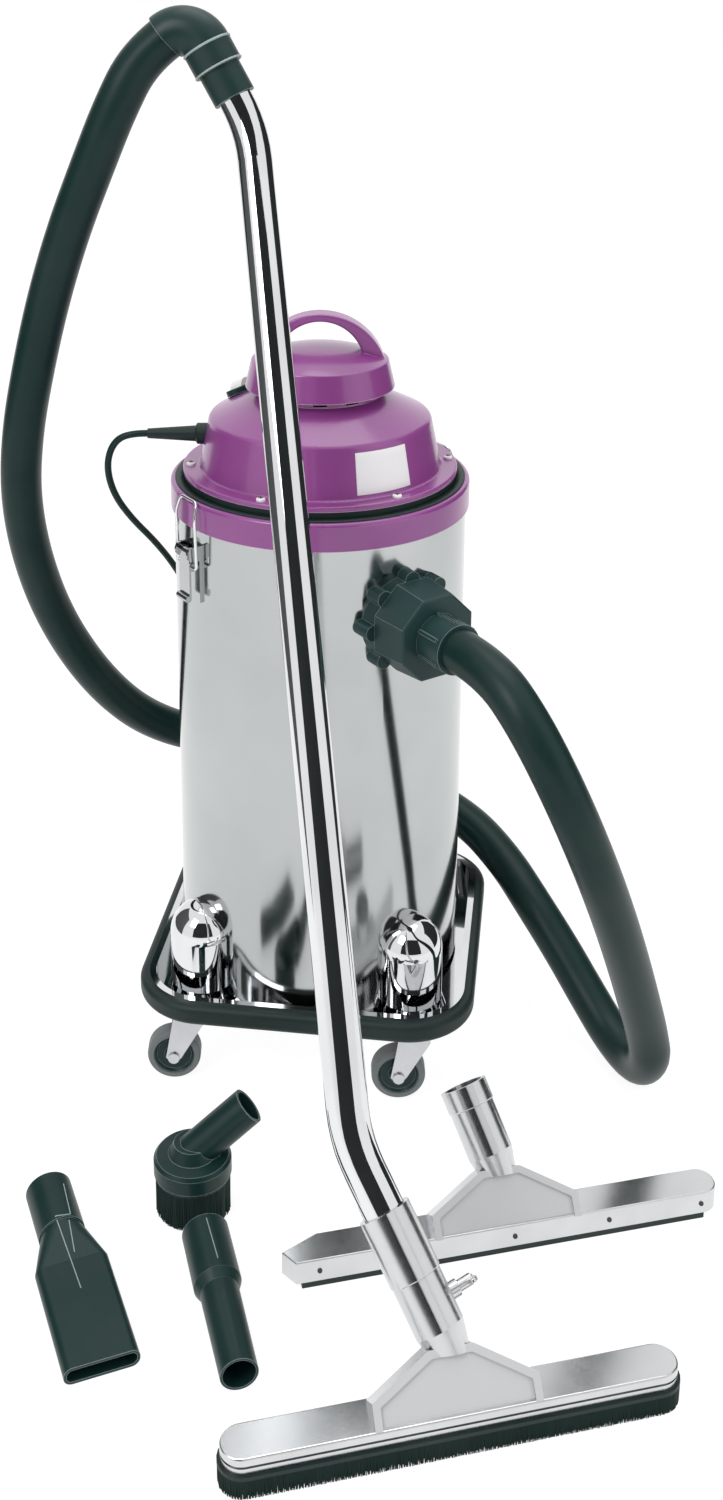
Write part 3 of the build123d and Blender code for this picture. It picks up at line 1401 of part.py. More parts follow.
def make_dust_bristles():
    back = Pos(0, 0, DUST_BRISTLE_H) * extrude(Circle(DUST_R - 1) - Circle(DUST_R - 16), DUST_BACK)
    tall = DUST_BRISTLE_H + DUST_BACK / 2
    strands = []
    for radius in (DUST_R - 1 - STRAND, DUST_R - 7 - STRAND):
        count = int(2 * pi * radius / STRAND_PITCH)
        ring = [(radius * cos(2 * pi * k / count), radius * sin(2 * pi * k / count), 360 * k / count) for k in range(count)]
        strands += strand_ring(ring, tall, tall / 2)
    return Pos(*DUST_AT, 0) * one(back.fuse(*strands))


def build():
    """All sub-parts by node name."""
    nodes = {
        "trolley_tray": make_tray(),
        "bumper": make_bumper(),
        "corner_domes": make_domes(),
        "drum": make_drum(),
        "inlet_flange": make_inlet_flange(),
        "inlet_nut": make_inlet_nut(),
        "inlet_cuff": make_inlet_cuff(),
        "inlet_elbow": make_inlet_elbow(),
        "rim_ring": make_ring(),
        "motor_plate": make_motor_plate(),
        "rim_gasket": make_gasket(),
        "housing_screws": make_screws(),
        "switch_base": make_switch_base(),
        "switch_rocker": make_switch_rocker(),
        "motor_case": make_motor_case(),
        "fan_shroud": make_shroud(),
        "rotor_fan": make_rotor(),
        "float_cage": make_float_cage(),
        "float_ball": Pos(0, 0, FLOAT_REST) * Sphere(FLOAT_R),
        "filter_sleeve": make_filter(),
        "floor_tool_body": make_floor_tool(),
        "floor_brush": make_floor_brush(),
        "thumb_screw": make_thumb_screw(),
        "squeegee_body": make_squeegee(),
        "squeegee_blades": make_blades(),
        "wand": make_wand(),
        "wand_cuff": make_wand_cuff(),
        "hose": make_hose(),
        "flat_nozzle": make_flat_nozzle(),
        "round_nozzle": make_round_nozzle(),
        "dust_brush_body": make_dust_brush(),
        "dust_bristles": make_dust_bristles(),
        "mains_cord": make_cord(),
        "cord_tie": make_tie(),
    }
    nodes["motor_housing"] = make_housing()
    nodes["cable_gland"] = make_gland()
    nodes["top_cap"] = make_cap()
    nodes["carry_handle"] = make_handle()
    coil, tail, heading = make_coil()
    nodes["cord_coil"] = coil
    nodes["mains_plug"] = make_plug(tail, heading)
    brackets = []
    for side, angle in CLIP_BEARINGS.items():
        frame = clip_plane(angle)
        brackets.append(frame * make_clip_bracket())
        nodes[f"clip_lever_{side}"] = frame * make_clip_lever()
        nodes[f"clip_bail_{side}"] = frame * make_clip_bail()
    nodes["clip_brackets"] = brackets
    plates = []
    for k, angle in enumerate(BASE_CORNERS, start=1):
        foot = caster_at(angle)
        plates.append(foot * make_caster_plate())
        nodes[f"caster_fork_{k}"] = [foot * piece for piece in make_fork()]
        nodes[f"caster_hub_{k}"] = foot * make_hub()
        nodes[f"caster_tyre_{k}"] = foot * make_tyre()
    nodes["caster_plates"] = plates
    return nodes


os.makedirs("parts", exist_ok=True)
for name, shape in build().items():
    pieces = shape if isinstance(shape, list) else [shape]
    solids = [s for piece in pieces for s in piece.solids()]
    export_step(solids[0] if len(solids) == 1 else Compound(solids), f"parts/{name}.step")
print(f"float travel {FLOAT_SEAT - FLOAT_REST:.1f} mm, ring top {RING_TOP:.1f}, cap top {CAP_TOP:.1f}")
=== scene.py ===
# %% [markdown]
# A shop vacuum, dressed for its portrait
#
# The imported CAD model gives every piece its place, its size and the body that it moves with.
# This lesson loads that frame and sets up the camera. It then goes round the machine finish by
# finish and piece by piece, from chrome to bristles and cords, and ends with a white studio.

import math

import bmesh
import bpy
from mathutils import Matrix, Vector
from mathutils.bvhtree import BVHTree


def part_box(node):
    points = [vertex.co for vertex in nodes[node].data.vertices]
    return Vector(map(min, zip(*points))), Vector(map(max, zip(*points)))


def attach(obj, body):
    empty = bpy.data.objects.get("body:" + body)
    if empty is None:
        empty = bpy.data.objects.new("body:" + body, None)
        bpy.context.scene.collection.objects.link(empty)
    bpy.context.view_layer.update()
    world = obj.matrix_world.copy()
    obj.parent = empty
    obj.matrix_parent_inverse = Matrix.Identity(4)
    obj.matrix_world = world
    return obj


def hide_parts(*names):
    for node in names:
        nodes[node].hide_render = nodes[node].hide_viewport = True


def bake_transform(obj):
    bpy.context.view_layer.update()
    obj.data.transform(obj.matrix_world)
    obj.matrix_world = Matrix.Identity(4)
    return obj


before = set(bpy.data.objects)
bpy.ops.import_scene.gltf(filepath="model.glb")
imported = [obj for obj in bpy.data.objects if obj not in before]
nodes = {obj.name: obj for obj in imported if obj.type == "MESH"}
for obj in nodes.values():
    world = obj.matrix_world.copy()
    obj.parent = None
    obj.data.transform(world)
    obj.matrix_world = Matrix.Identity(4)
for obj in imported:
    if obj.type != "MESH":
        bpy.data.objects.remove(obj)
scene = bpy.context.scene
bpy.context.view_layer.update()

# %% [markdown]
# The camera
#
# The picture was taken a little above the machine with a shift lens, so upright lines stay upright.
# The lens shift is part of the camera's own data: the camera looks down by a fixed tilt, and the
# shift slides the frame so that the horizon sits where the photograph has it.

# %% Camera
CAMERA_AT = (0.0, -1.9, 1.354)
CAMERA_TILT = 15.64
FOCAL_PX = 1770.0
FRAME_PX = (723.0, 1500.0)
LENS_CENTRE_PX = (320.1, 375.0)
SENSOR_MM = 36.0

camera = bpy.data.cameras.new("portrait_lens")
camera.sensor_fit = "AUTO"
camera.sensor_width = SENSOR_MM
camera.lens = FOCAL_PX / FRAME_PX[1] * SENSOR_MM
camera.shift_x = (FRAME_PX[0] / 2 - LENS_CENTRE_PX[0]) / FRAME_PX[1]
camera.shift_y = (LENS_CENTRE_PX[1] - FRAME_PX[1] / 2) / FRAME_PX[1]
portrait = bpy.data.objects.new("portrait_camera", camera)
portrait.location = CAMERA_AT
portrait.rotation_euler = (math.radians(90 - CAMERA_TILT), 0, 0)
scene.collection.objects.link(portrait)
scene.camera = portrait
scene.view_settings.view_transform = "Standard"
print("lens", round(camera.lens, 2), "shift", round(camera.shift_x, 4), round(camera.shift_y, 4))

# %% [markdown]
# Materials from nodes
#
# Every finish starts as one Principled shader. A helper keeps the wiring short: it makes the shader,
# sets the sockets that are the same all over, and hands back the node tree, so that each finish can
# add its own grain, scratches and dust to colour, roughness and bump.

# %% Helpers for finishes
def new_finish(name, colour, roughness, metallic=0.0, **sockets):
    """A material with one Principled shader, and its tree."""
    material = bpy.data.materials.new(name)
    material.use_nodes = True
    tree = material.node_tree
    shader = tree.nodes["Principled BSDF"]
    shader.inputs["Base Color"].default_value = (*colour, 1)
    shader.inputs["Roughness"].default_value = roughness
    shader.inputs["Metallic"].default_value = metallic
    for socket, value in sockets.items():
        shader.inputs[socket.replace("_", " ")].default_value = value
    return material, tree, shader


def node(tree, kind, **settings):
    """A node of that kind; settings are its own properties."""
    made = tree.nodes.new(kind)
    for key, value in settings.items():
        setattr(made, key, value)
    return made


def dress(names, material):
    """Gives CAD nodes a finish."""
    for name in names:
        target = nodes[name]
        target.data.materials.clear()
        target.data.materials.append(material)
    print(material.name, "on", len(names), "nodes")


print("helpers for finishes are ready")

# %% [markdown]
# Grain, wear and dust are patterns in space. All of them come from a Noise texture on object
# coordinates, because those need no unwrapping and stay with the piece when it moves.

# %% Helpers for patterns
def object_coords(tree, scale=(1, 1, 1)):
    """Object coordinates, stretched by a scale."""
    coords = node(tree, "ShaderNodeTexCoord")
    mapping = node(tree, "ShaderNodeMapping")
    mapping.inputs["Scale"].default_value = scale
    tree.links.new(coords.outputs["Object"], mapping.inputs["Vector"])
    return mapping.outputs["Vector"]


def noise(tree, vector, scale, detail=3.0, rough=0.55):
    """Noise from 0 to 1 at a place."""
    made = node(tree, "ShaderNodeTexNoise")
    made.inputs["Scale"].default_value = scale
    made.inputs["Detail"].default_value = detail
    made.inputs["Roughness"].default_value = rough
    tree.links.new(vector, made.inputs["Vector"])
    return made.outputs["Fac"]


def ramp(tree, value, stops):
    """Colour ramp over (position, colour) stops."""
    made = node(tree, "ShaderNodeValToRGB")
    while len(made.color_ramp.elements) < len(stops):
        made.color_ramp.elements.new(0.5)
    for element, (place, colour) in zip(made.color_ramp.elements, stops):
        element.position = place
        element.color = (*colour, 1)
    tree.links.new(value, made.inputs["Fac"])
    return made.outputs["Color"]


def spread(tree, value, low, high):
    """Maps 0..1 to low..high."""
    made = node(tree, "ShaderNodeMapRange")
    made.inputs["To Min"].default_value = low
    made.inputs["To Max"].default_value = high
    tree.links.new(value, made.inputs["Value"])
    return made.outputs["Result"]


def share_between(tree, value, low, high):
    """Maps low..high to 0..1."""
    made = node(tree, "ShaderNodeMapRange")
    made.inputs["From Min"].default_value = low
    made.inputs["From Max"].default_value = high
    tree.links.new(value, made.inputs["Value"])
    return made.outputs["Result"]


def bump(tree, shader, height, strength, distance):
    """Raises the surface by a pattern."""
    made = node(tree, "ShaderNodeBump")
    made.inputs["Strength"].default_value = strength
    made.inputs["Distance"].default_value = distance
    tree.links.new(height, made.inputs["Height"])
    tree.links.new(made.outputs["Normal"], shader.inputs["Normal"])


def tint(tree, shader, share, colour):
    """Mixes a colour over the shader's own, as far as share says."""
    own = shader.inputs["Base Color"].links[0].from_socket
    mixed = node(tree, "ShaderNodeMix", data_type="RGBA")
    mixed.inputs["B"].default_value = (*colour, 1)
    tree.links.new(share, mixed.inputs["Factor"])
    tree.links.new(own, mixed.inputs["A"])
    tree.links.new(mixed.outputs["Result"], shader.inputs["Base Color"])


print("helpers for patterns are ready")

# %% [markdown]
# Polished metal
#
# Chrome, stainless sheet and cast aluminium differ in three things: how dark the metal itself is,
# how rough its polish is, and which way the polishing marks run. The marks are noise stretched
# along the direction of the work: round the drum for rolled sheet, in all directions for castings.

# %% Metals
MARK_DEPTH = 0.0002
WORN_SHADE = 0.9
WORN_TO, BRIGHT_FROM = 0.35, 0.65


def polished(name, colour, rough, marks, strength, wear):
    """Metal with fine polishing marks; marks is the stretch of the noise along X, Y and Z."""
    material, tree, shader = new_finish(name, colour, rough[0], metallic=1.0)
    lines = noise(tree, object_coords(tree, marks), 1.0, detail=4.0)
    cloud = noise(tree, object_coords(tree), wear)
    both = node(tree, "ShaderNodeMath", operation="MULTIPLY")
    tree.links.new(lines, both.inputs[0])
    tree.links.new(cloud, both.inputs[1])
    tree.links.new(spread(tree, both.outputs["Value"], *rough), shader.inputs["Roughness"])
    darker = tuple(c * WORN_SHADE for c in colour)
    shades = ramp(tree, cloud, [(WORN_TO, darker), (BRIGHT_FROM, colour)])
    tree.links.new(shades, shader.inputs["Base Color"])
    bump(tree, shader, lines, strength, MARK_DEPTH)
    return material


chrome = polished(
    "bright_chrome", (0.78, 0.79, 0.80), rough=(0.02, 0.09), marks=(300, 300, 40), strength=0.015, wear=9
)
steel = polished(
    "rolled_stainless", (0.50, 0.52, 0.52), rough=(0.09, 0.20), marks=(8, 8, 900), strength=0.03, wear=5
)
casting = polished(
    "cast_aluminium", (0.68, 0.69, 0.70), rough=(0.18, 0.38), marks=(420, 420, 420), strength=0.07, wear=14
)
zinc = polished(
    "zinc_plate", (0.62, 0.63, 0.65), rough=(0.25, 0.45), marks=(260, 260, 260), strength=0.05, wear=30
)
CASTERS = range(1, 5)
dress(["trolley_tray", "corner_domes", "wand"], chrome)
dress(["drum", "clip_brackets", "clip_lever_left", "clip_lever_right"], steel)
dress(["clip_bail_left", "clip_bail_right"], chrome)
dress(["floor_tool_body", "squeegee_body", "thumb_screw"], casting)
dress(["caster_plates"] + [f"caster_fork_{k}" for k in CASTERS], zinc)
dress(["motor_case", "rotor_fan"], zinc)

# %% [markdown]
# The sunk panels of both hoods
#
# A casting is polished where the wheel reaches it, and its sunk panels stay as they left the sand:
# grey and matt. Both panels look the same way, so the surface's own direction can pick them out, and
# the casting needs no second material.

# %% Hood panels
TOOL_TURN = math.radians(13.1)
HOOD_PITCH = math.radians(53)
PANEL_FROM, PANEL_FULL = 0.985, 0.996
PANEL_GREY = (0.66, 0.67, 0.68)
PANEL_METALLIC = 0.2
PANEL_ROUGHER = 0.4


def sand_cast_panels(material, facing):
    """Leaves the faces that look one way as cast: grey, matt and hardly metallic."""
    tree = material.node_tree
    link = tree.links.new
    shader = tree.nodes["Principled BSDF"]
    coords = node(tree, "ShaderNodeTexCoord")
    towards = node(tree, "ShaderNodeVectorMath", operation="DOT_PRODUCT")
    towards.inputs[1].default_value = facing
    link(coords.outputs["Normal"], towards.inputs[0])
    panel = share_between(tree, towards.outputs["Value"], PANEL_FROM, PANEL_FULL)
    link(spread(tree, panel, 1.0, PANEL_METALLIC), shader.inputs["Metallic"])
    tint(tree, shader, panel, PANEL_GREY)
    polish = shader.inputs["Roughness"].links[0].from_socket
    rougher = node(tree, "ShaderNodeMath", operation="MULTIPLY_ADD")
    rougher.inputs[1].default_value = PANEL_ROUGHER
    link(panel, rougher.inputs[0])
    link(polish, rougher.inputs[2])
    link(rougher.outputs["Value"], shader.inputs["Roughness"])


hood_front = Vector((math.sin(TOOL_TURN), -math.cos(TOOL_TURN), 0)) * math.sin(HOOD_PITCH)
hood_front.z = math.cos(HOOD_PITCH)
sand_cast_panels(casting, hood_front)
print("panels look along", tuple(round(v, 3) for v in hood_front))

# %% [markdown]
# Moulded plastic and rubber
#
# Moulded plastic has a very fine leather-like grain from the mould and a soft shine. Rubber is the
# same idea with less shine. Both get a little dust: the colour lifts slightly where a large soft
# noise is high. Sharp edges turn pale, partly as edges rubbed by handling and partly as a painted
# highlight for the light that catches them. A Bevel node looks for them: where the rounded normal
# leaves the true one, the edge's pale colour comes in.

# %% Worn edges and painted edge highlights
EDGE_REACH = 0.0011
EDGE_SAMPLES = 6
EDGE_FROM, EDGE_FULL = 0.992, 0.93


def worn_and_highlit_edges(tree, shader, colour):
    """Mixes a paler colour in along sharp edges: partly wear, partly a painted highlight."""
    rounded = node(tree, "ShaderNodeBevel", samples=EDGE_SAMPLES)
    rounded.inputs["Radius"].default_value = EDGE_REACH
    surface = node(tree, "ShaderNodeNewGeometry")
    alike = node(tree, "ShaderNodeVectorMath", operation="DOT_PRODUCT")
    tree.links.new(rounded.outputs["Normal"], alike.inputs[0])
    tree.links.new(surface.outputs["Normal"], alike.inputs[1])
    tint(tree, shader, share_between(tree, alike.outputs["Value"], EDGE_FROM, EDGE_FULL), colour)


print("edges are looked for within", EDGE_REACH, "m")

# %% Moulded finish
DUST_SCALE = 7.0
DUST_PALE, DUST_SHARE = 0.5, 0.1
DUST_FROM, DUST_FULL = 0.4, 0.75
SMOOTHER, ROUGHER = 0.85, 1.2
GRAIN_DEPTH = 0.0003


def moulded(name, colour, roughness, grain=900, depth=0.12, dust=0.25, edge=None, **sockets):
    """Plastic or rubber with grain, dust and, where edge gives a colour, pale edges that are partly wear
    and partly painted highlight.
    """
    material, tree, shader = new_finish(name, colour, roughness, **sockets)
    plain = object_coords(tree)
    pebbles = noise(tree, plain, grain, detail=2.0)
    cloud = noise(tree, plain, DUST_SCALE, detail=4.0)
    lifted = tuple(c + (DUST_PALE - c) * DUST_SHARE * dust for c in colour)
    shades = ramp(tree, cloud, [(DUST_FROM, colour), (DUST_FULL, lifted)])
    shine = spread(tree, cloud, roughness * SMOOTHER, roughness * ROUGHER)
    tree.links.new(shades, shader.inputs["Base Color"])
    tree.links.new(shine, shader.inputs["Roughness"])
    bump(tree, shader, pebbles, depth, GRAIN_DEPTH)
    if edge:
        worn_and_highlit_edges(tree, shader, edge)
    return material


# The edge colours are pale: partly handling wear, partly a painted highlight where light catches the
# edges.
PURPLE_EDGE_WEAR_AND_HIGHLIGHT = (0.66, 0.42, 0.64)
BLACK_EDGE_WEAR_AND_HIGHLIGHT = (0.27, 0.33, 0.33)
purple = moulded(
    "purple_moulding",
    (0.275, 0.050, 0.262),
    roughness=0.34,
    depth=0.06,
    edge=PURPLE_EDGE_WEAR_AND_HIGHLIGHT,
    Coat_Weight=0.7,
    Coat_Roughness=0.14,
)
black = moulded(
    "black_moulding",
    (0.006, 0.030, 0.028),
    roughness=0.36,
    depth=0.15,
    edge=BLACK_EDGE_WEAR_AND_HIGHLIGHT,
    Specular_IOR_Level=0.27,
)
# The inlet fittings take a paler black than the other mouldings: painted light, for the light on the nut's
# lit facets.
fitting_black_with_painted_light = moulded(
    "black_moulding_with_painted_light",
    (0.014, 0.046, 0.046),
    roughness=0.40,
    depth=0.15,
    edge=BLACK_EDGE_WEAR_AND_HIGHLIGHT,
    Specular_IOR_Level=0.30,
)
print("purple and two blacks are mixed")

# %% Plain plastics and rubbers
rubber = moulded("black_rubber", (0.007, 0.022, 0.020), roughness=0.48, depth=0.2, Specular_IOR_Level=0.34)
sheath = moulded(
    "hose_skin", (0.006, 0.027, 0.024), roughness=0.34, grain=500, depth=0.1, Specular_IOR_Level=0.18
)
tyre = moulded("grey_tyre", (0.185, 0.205, 0.205), roughness=0.55, depth=0.2)
white = moulded("white_moulding", (0.90, 0.89, 0.88), roughness=0.35, depth=0.05)
foam = moulded("grey_foam", (0.08, 0.08, 0.085), roughness=0.9, grain=350, depth=0.8)
bristle = moulded(
    "black_bristle", (0.005, 0.022, 0.018), roughness=0.6, grain=700, depth=0.3, Specular_IOR_Level=0.15
)
label = moulded("bare_label", (0.93, 0.92, 0.93), roughness=0.45, grain=1500, depth=0.05, dust=1.0)
# The pale grey-green of the nozzle ribs and cuff beads is a painted highlight.
rib_highlight_paint = moulded("painted_highlight_rib", (0.36, 0.44, 0.43), roughness=0.4, depth=0.05)
# This dark is painted shade in the screws' cross slots, and the dark colour of the squeegee's rivets.
slot_shade_and_rivet_dark = moulded("painted_slot_shade_and_dark_rivet", (0.05, 0.045, 0.05), roughness=0.6, depth=0.05)

dress(["rim_ring", "motor_housing", "top_cap", "carry_handle", "motor_plate"], purple)
dress(["inlet_flange", "inlet_nut", "inlet_cuff"], fitting_black_with_painted_light)
dress(
    ["inlet_elbow", "wand_cuff", "switch_base", "fan_shroud", "float_cage"]
    + ["flat_nozzle", "round_nozzle", "dust_brush_body", "mains_plug", "cord_tie"]
    + [f"caster_hub_{k}" for k in CASTERS],
    black,
)
dress(["bumper", "rim_gasket", "cable_gland", "squeegee_blades"], rubber)
dress([f"caster_tyre_{k}" for k in CASTERS], tyre)
dress(["switch_rocker", "housing_screws", "float_ball"], white)

# %% [markdown]
# Things that repeat
#
# Bristles, screws and rivets are one small shape many times over. Geometry Nodes places such a shape
# on points, and the tree's inputs hold its sizes. A helper builds the tree's frame, and another
# turns the result into a plain mesh on the body that carries it.

# %% Helpers for repeated pieces
def open_tree(name, **inputs):
    """A Geometry Nodes tree with named number inputs: tree, input node, output node, identifiers."""
    tree = bpy.data.node_groups.new(name, "GeometryNodeTree")
    tree.interface.new_socket("Geometry", in_out="INPUT", socket_type="NodeSocketGeometry")
    tree.interface.new_socket("Geometry", in_out="OUTPUT", socket_type="NodeSocketGeometry")
    keys = {}
    for key, value in inputs.items():
        kind = "NodeSocketInt" if isinstance(value, int) else "NodeSocketFloat"
        socket = tree.interface.new_socket(key, in_out="INPUT", socket_type=kind)
        keys[key] = socket.identifier
    return tree, node(tree, "NodeGroupInput"), node(tree, "NodeGroupOutput"), keys


def close_tree(tree, instances, material, end):
    """Ends a tree in real geometry with one finish."""
    real = node(tree, "GeometryNodeRealizeInstances")
    paint = node(tree, "GeometryNodeSetMaterial")
    paint.inputs["Material"].default_value = material
    tree.links.new(instances, real.inputs["Geometry"])
    tree.links.new(real.outputs["Geometry"], paint.inputs["Geometry"])
    tree.links.new(paint.outputs["Geometry"], end.inputs["Geometry"])


def plain_mesh(source):
    """The mesh that an object shows, with its modifiers or its bevel worked in."""
    return bpy.data.meshes.new_from_object(source.evaluated_get(bpy.context.evaluated_depsgraph_get()))


def grow(name, points, edges, built, sizes, body):
    """Runs a built tree on points, sizes by input name, and leaves a plain mesh on a body."""
    tree, keys = built
    mesh = bpy.data.meshes.new(name)
    mesh.from_pydata(points, edges, [])
    made = bpy.data.objects.new(name, mesh)
    scene.collection.objects.link(made)
    modifier = made.modifiers.new("grow", "NODES")
    modifier.node_group = tree
    for key, value in sizes.items():
        modifier[keys[key]] = value
    result = plain_mesh(made)
    made.modifiers.clear()
    made.data = result
    bpy.data.meshes.remove(mesh)
    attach(made, body)
    print(name, len(result.vertices), "points")
    return made


def closed_loop(points):
    """Edges that join points into a ring."""
    return [(k, (k + 1) % len(points)) for k in range(len(points))]


print("helpers for repeated pieces are ready")

# %% [markdown]
# Bristles
#
# A brush is rows of strands set in a strip. A block with a bump would do from afar, but its edge would
# be too clean, so the strands are real. Each row is a closed line; the tree spaces points along it and
# stands a slim cone on each, hung head down, with a random lean and length from a fixed seed.

# %% Bristle tree
STRAND_SIDES = 5
STRAND_TIP = 0.55
STRAND_LEAST = (0.85, 0.85, 0.985)
STRAND_MOST = (1.15, 1.15, 1.0)


def strand_lean(tree, start):
    """Random turns within the input Lean of straight down."""
    link = tree.links.new
    low = node(tree, "ShaderNodeCombineXYZ")
    high = node(tree, "ShaderNodeCombineXYZ")
    minus = node(tree, "ShaderNodeMath", operation="MULTIPLY")
    minus.inputs[1].default_value = -1.0
    over = node(tree, "ShaderNodeMath", operation="ADD")
    under = node(tree, "ShaderNodeMath", operation="ADD")
    over.inputs[1].default_value = math.pi
    under.inputs[1].default_value = math.pi
    lean = node(tree, "FunctionNodeRandomValue", data_type="FLOAT_VECTOR")
    turn = node(tree, "FunctionNodeEulerToRotation")
    link(start.outputs["Lean"], minus.inputs[0])
    link(start.outputs["Lean"], over.inputs[0])
    link(minus.outputs["Value"], under.inputs[0])
    link(under.outputs["Value"], low.inputs["X"])
    link(minus.outputs["Value"], low.inputs["Y"])
    link(over.outputs["Value"], high.inputs["X"])
    link(start.outputs["Lean"], high.inputs["Y"])
    link(low.outputs["Vector"], lean.inputs["Min"])
    link(high.outputs["Vector"], lean.inputs["Max"])
    link(start.outputs["Seed"], lean.inputs["Seed"])
    link(lean.outputs["Value"], turn.inputs["Euler"])
    return turn.outputs["Rotation"]


def bristle_tree():
    """Cones along closed lines."""
    tree, start, end, keys = open_tree(
        "bristles", Spacing=0.002, Length=0.02, Thick=0.0008, Lean=0.1, Seed=1
    )
    link = tree.links.new
    line = node(tree, "GeometryNodeMeshToCurve")
    spaced = node(tree, "GeometryNodeResampleCurve", mode="LENGTH")
    strand = node(tree, "GeometryNodeMeshCone")
    strand.inputs["Vertices"].default_value = STRAND_SIDES
    tip = node(tree, "ShaderNodeMath", operation="MULTIPLY")
    tip.inputs[1].default_value = STRAND_TIP
    size = node(tree, "FunctionNodeRandomValue", data_type="FLOAT_VECTOR")
    size.inputs["Min"].default_value = STRAND_LEAST
    size.inputs["Max"].default_value = STRAND_MOST
    stand = node(tree, "GeometryNodeInstanceOnPoints")
    link(start.outputs["Geometry"], line.inputs["Mesh"])
    link(line.outputs["Curve"], spaced.inputs["Curve"])
    link(start.outputs["Spacing"], spaced.inputs["Length"])
    link(start.outputs["Thick"], strand.inputs["Radius Bottom"])
    link(start.outputs["Thick"], tip.inputs[0])
    link(tip.outputs["Value"], strand.inputs["Radius Top"])
    link(start.outputs["Length"], strand.inputs["Depth"])
    link(start.outputs["Seed"], size.inputs["Seed"])
    link(spaced.outputs["Curve"], stand.inputs["Points"])
    link(strand.outputs["Mesh"], stand.inputs["Instance"])
    link(strand_lean(tree, start), stand.inputs["Rotation"])
    link(size.outputs["Value"], stand.inputs["Scale"])
    close_tree(tree, stand.outputs["Instances"], bristle, end)
    return tree, keys


bristles = bristle_tree()
print("bristle tree takes", ", ".join(bristles[1]))

# %% [markdown]
# The strips
#
# The floor tool's brush runs round a long plate with round ends, and the dusting brush is a round tuft.
# Both hang from a thin strip, which is a solid of its own: an outline with a flat top and bottom.

# %% Helpers for brushes
def placed(name, mesh, body):
    """An object with this mesh, on the body that it is made for."""
    made = bpy.data.objects.new(name, mesh)
    scene.collection.objects.link(made)
    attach(made, body)
    return made


def slab(name, loop, height, material, body):
    """Flat slab standing on a closed loop of points."""
    mesh = bpy.data.meshes.new(name)
    count = len(loop)
    top = [(x, y, z + height) for x, y, z in loop]
    sides = [(k, n, count + n, count + k) for k, n in closed_loop(loop)]
    faces = [tuple(reversed(range(count))), tuple(range(count, 2 * count))] + sides
    mesh.from_pydata(loop + top, [], faces)
    mesh.materials.append(material)
    print(name, len(faces), "faces")
    return placed(name, mesh, body)


def brush_rows(name, loops, sizes, body):
    """Several closed rows of strands as one piece; sizes are the tree's inputs by name."""
    points = []
    edges = []
    for loop in loops:
        first = len(points)
        edges += [(a + first, b + first) for a, b in closed_loop(loop)]
        points += loop
    return grow(name, points, edges, bristles, sizes, body)


STRIP_T = 0.004
print("strips are", STRIP_T, "m thick")

# %% Floor brush
TOOL_AT = (0.1207, -0.6186)
BRUSH_LONG = 0.434
BRUSH_WIDE = 0.046
BRUSH_TOP = 0.0245
STRIP_INSET = 0.0002
FLOOR_INSETS = (0.0012, 0.0030, 0.0048, 0.0066, 0.0084, 0.0102)
FLOOR_STRANDS = {"Spacing": 0.0013, "Length": 0.0222, "Thick": 0.0010, "Lean": 0.02, "Seed": 7}
END_STEPS = 12


def in_tool(at, x, y, z):
    """A point of a tool's own frame, turned as both long tools are and set down at its place."""
    return (
        at[0] + x * math.cos(TOOL_TURN) - y * math.sin(TOOL_TURN),
        at[1] + x * math.sin(TOOL_TURN) + y * math.cos(TOOL_TURN),
        z,
    )


def long_loop(inset, z):
    """Outline with round ends, in the floor tool's place."""
    radius = BRUSH_WIDE / 2 - inset
    half = (BRUSH_LONG - BRUSH_WIDE) / 2
    loop = []
    for end, from_angle in ((1, -90), (-1, 90)):
        for k in range(END_STEPS + 1):
            angle = math.radians(from_angle + 180 / END_STEPS * k)
            x = end * half + radius * math.cos(angle)
            loop.append(in_tool(TOOL_AT, x, radius * math.sin(angle), z))
    return loop


floor_outline = long_loop(STRIP_INSET, BRUSH_TOP - STRIP_T)
slab("floor_brush_strip", floor_outline, STRIP_T, rubber, "machine")
rows = [long_loop(inset, BRUSH_TOP - STRIP_T / 2) for inset in FLOOR_INSETS]
floor_strands = brush_rows("floor_brush_strands", rows, FLOOR_STRANDS, "machine")
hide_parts("floor_brush")

# %% Dusting brush
DUST_AT = (-0.134, -0.330)
DUST_TOP = 0.046
DUST_STRIP_R = 0.0395
DUST_ROWS = (0.0385, 0.0373, 0.0361, 0.0349, 0.0337, 0.0322, 0.0305)
DUST_STRANDS = {"Spacing": 0.0015, "Length": 0.0435, "Thick": 0.0011, "Lean": 0.018, "Seed": 7}
DUST_POINTS = 32


def round_loop(centre, radius, z):
    """A level circle of points."""
    angles = [2 * math.pi * k / DUST_POINTS for k in range(DUST_POINTS)]
    return [(centre[0] + radius * math.cos(a), centre[1] + radius * math.sin(a), z) for a in angles]


dust_outline = round_loop(DUST_AT, DUST_STRIP_R, DUST_TOP - STRIP_T)
slab("dust_brush_strip", dust_outline, STRIP_T, rubber, "machine")
rows = [round_loop(DUST_AT, radius, DUST_TOP - STRIP_T / 2) for radius in DUST_ROWS]
dust_strands = brush_rows("dust_brush_strands", rows, DUST_STRANDS, "machine")
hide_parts("dust_bristles")

# %% [markdown]
# Screws, rivets and the weld
#
# A pan head is a flattened ball, and a round rivet or a bead of weld is the same ball with other sizes.
# So one tree makes all three: it stands a ball on every point, and its inputs say how wide the ball is,
# how much of its height is kept and how finely it is divided.

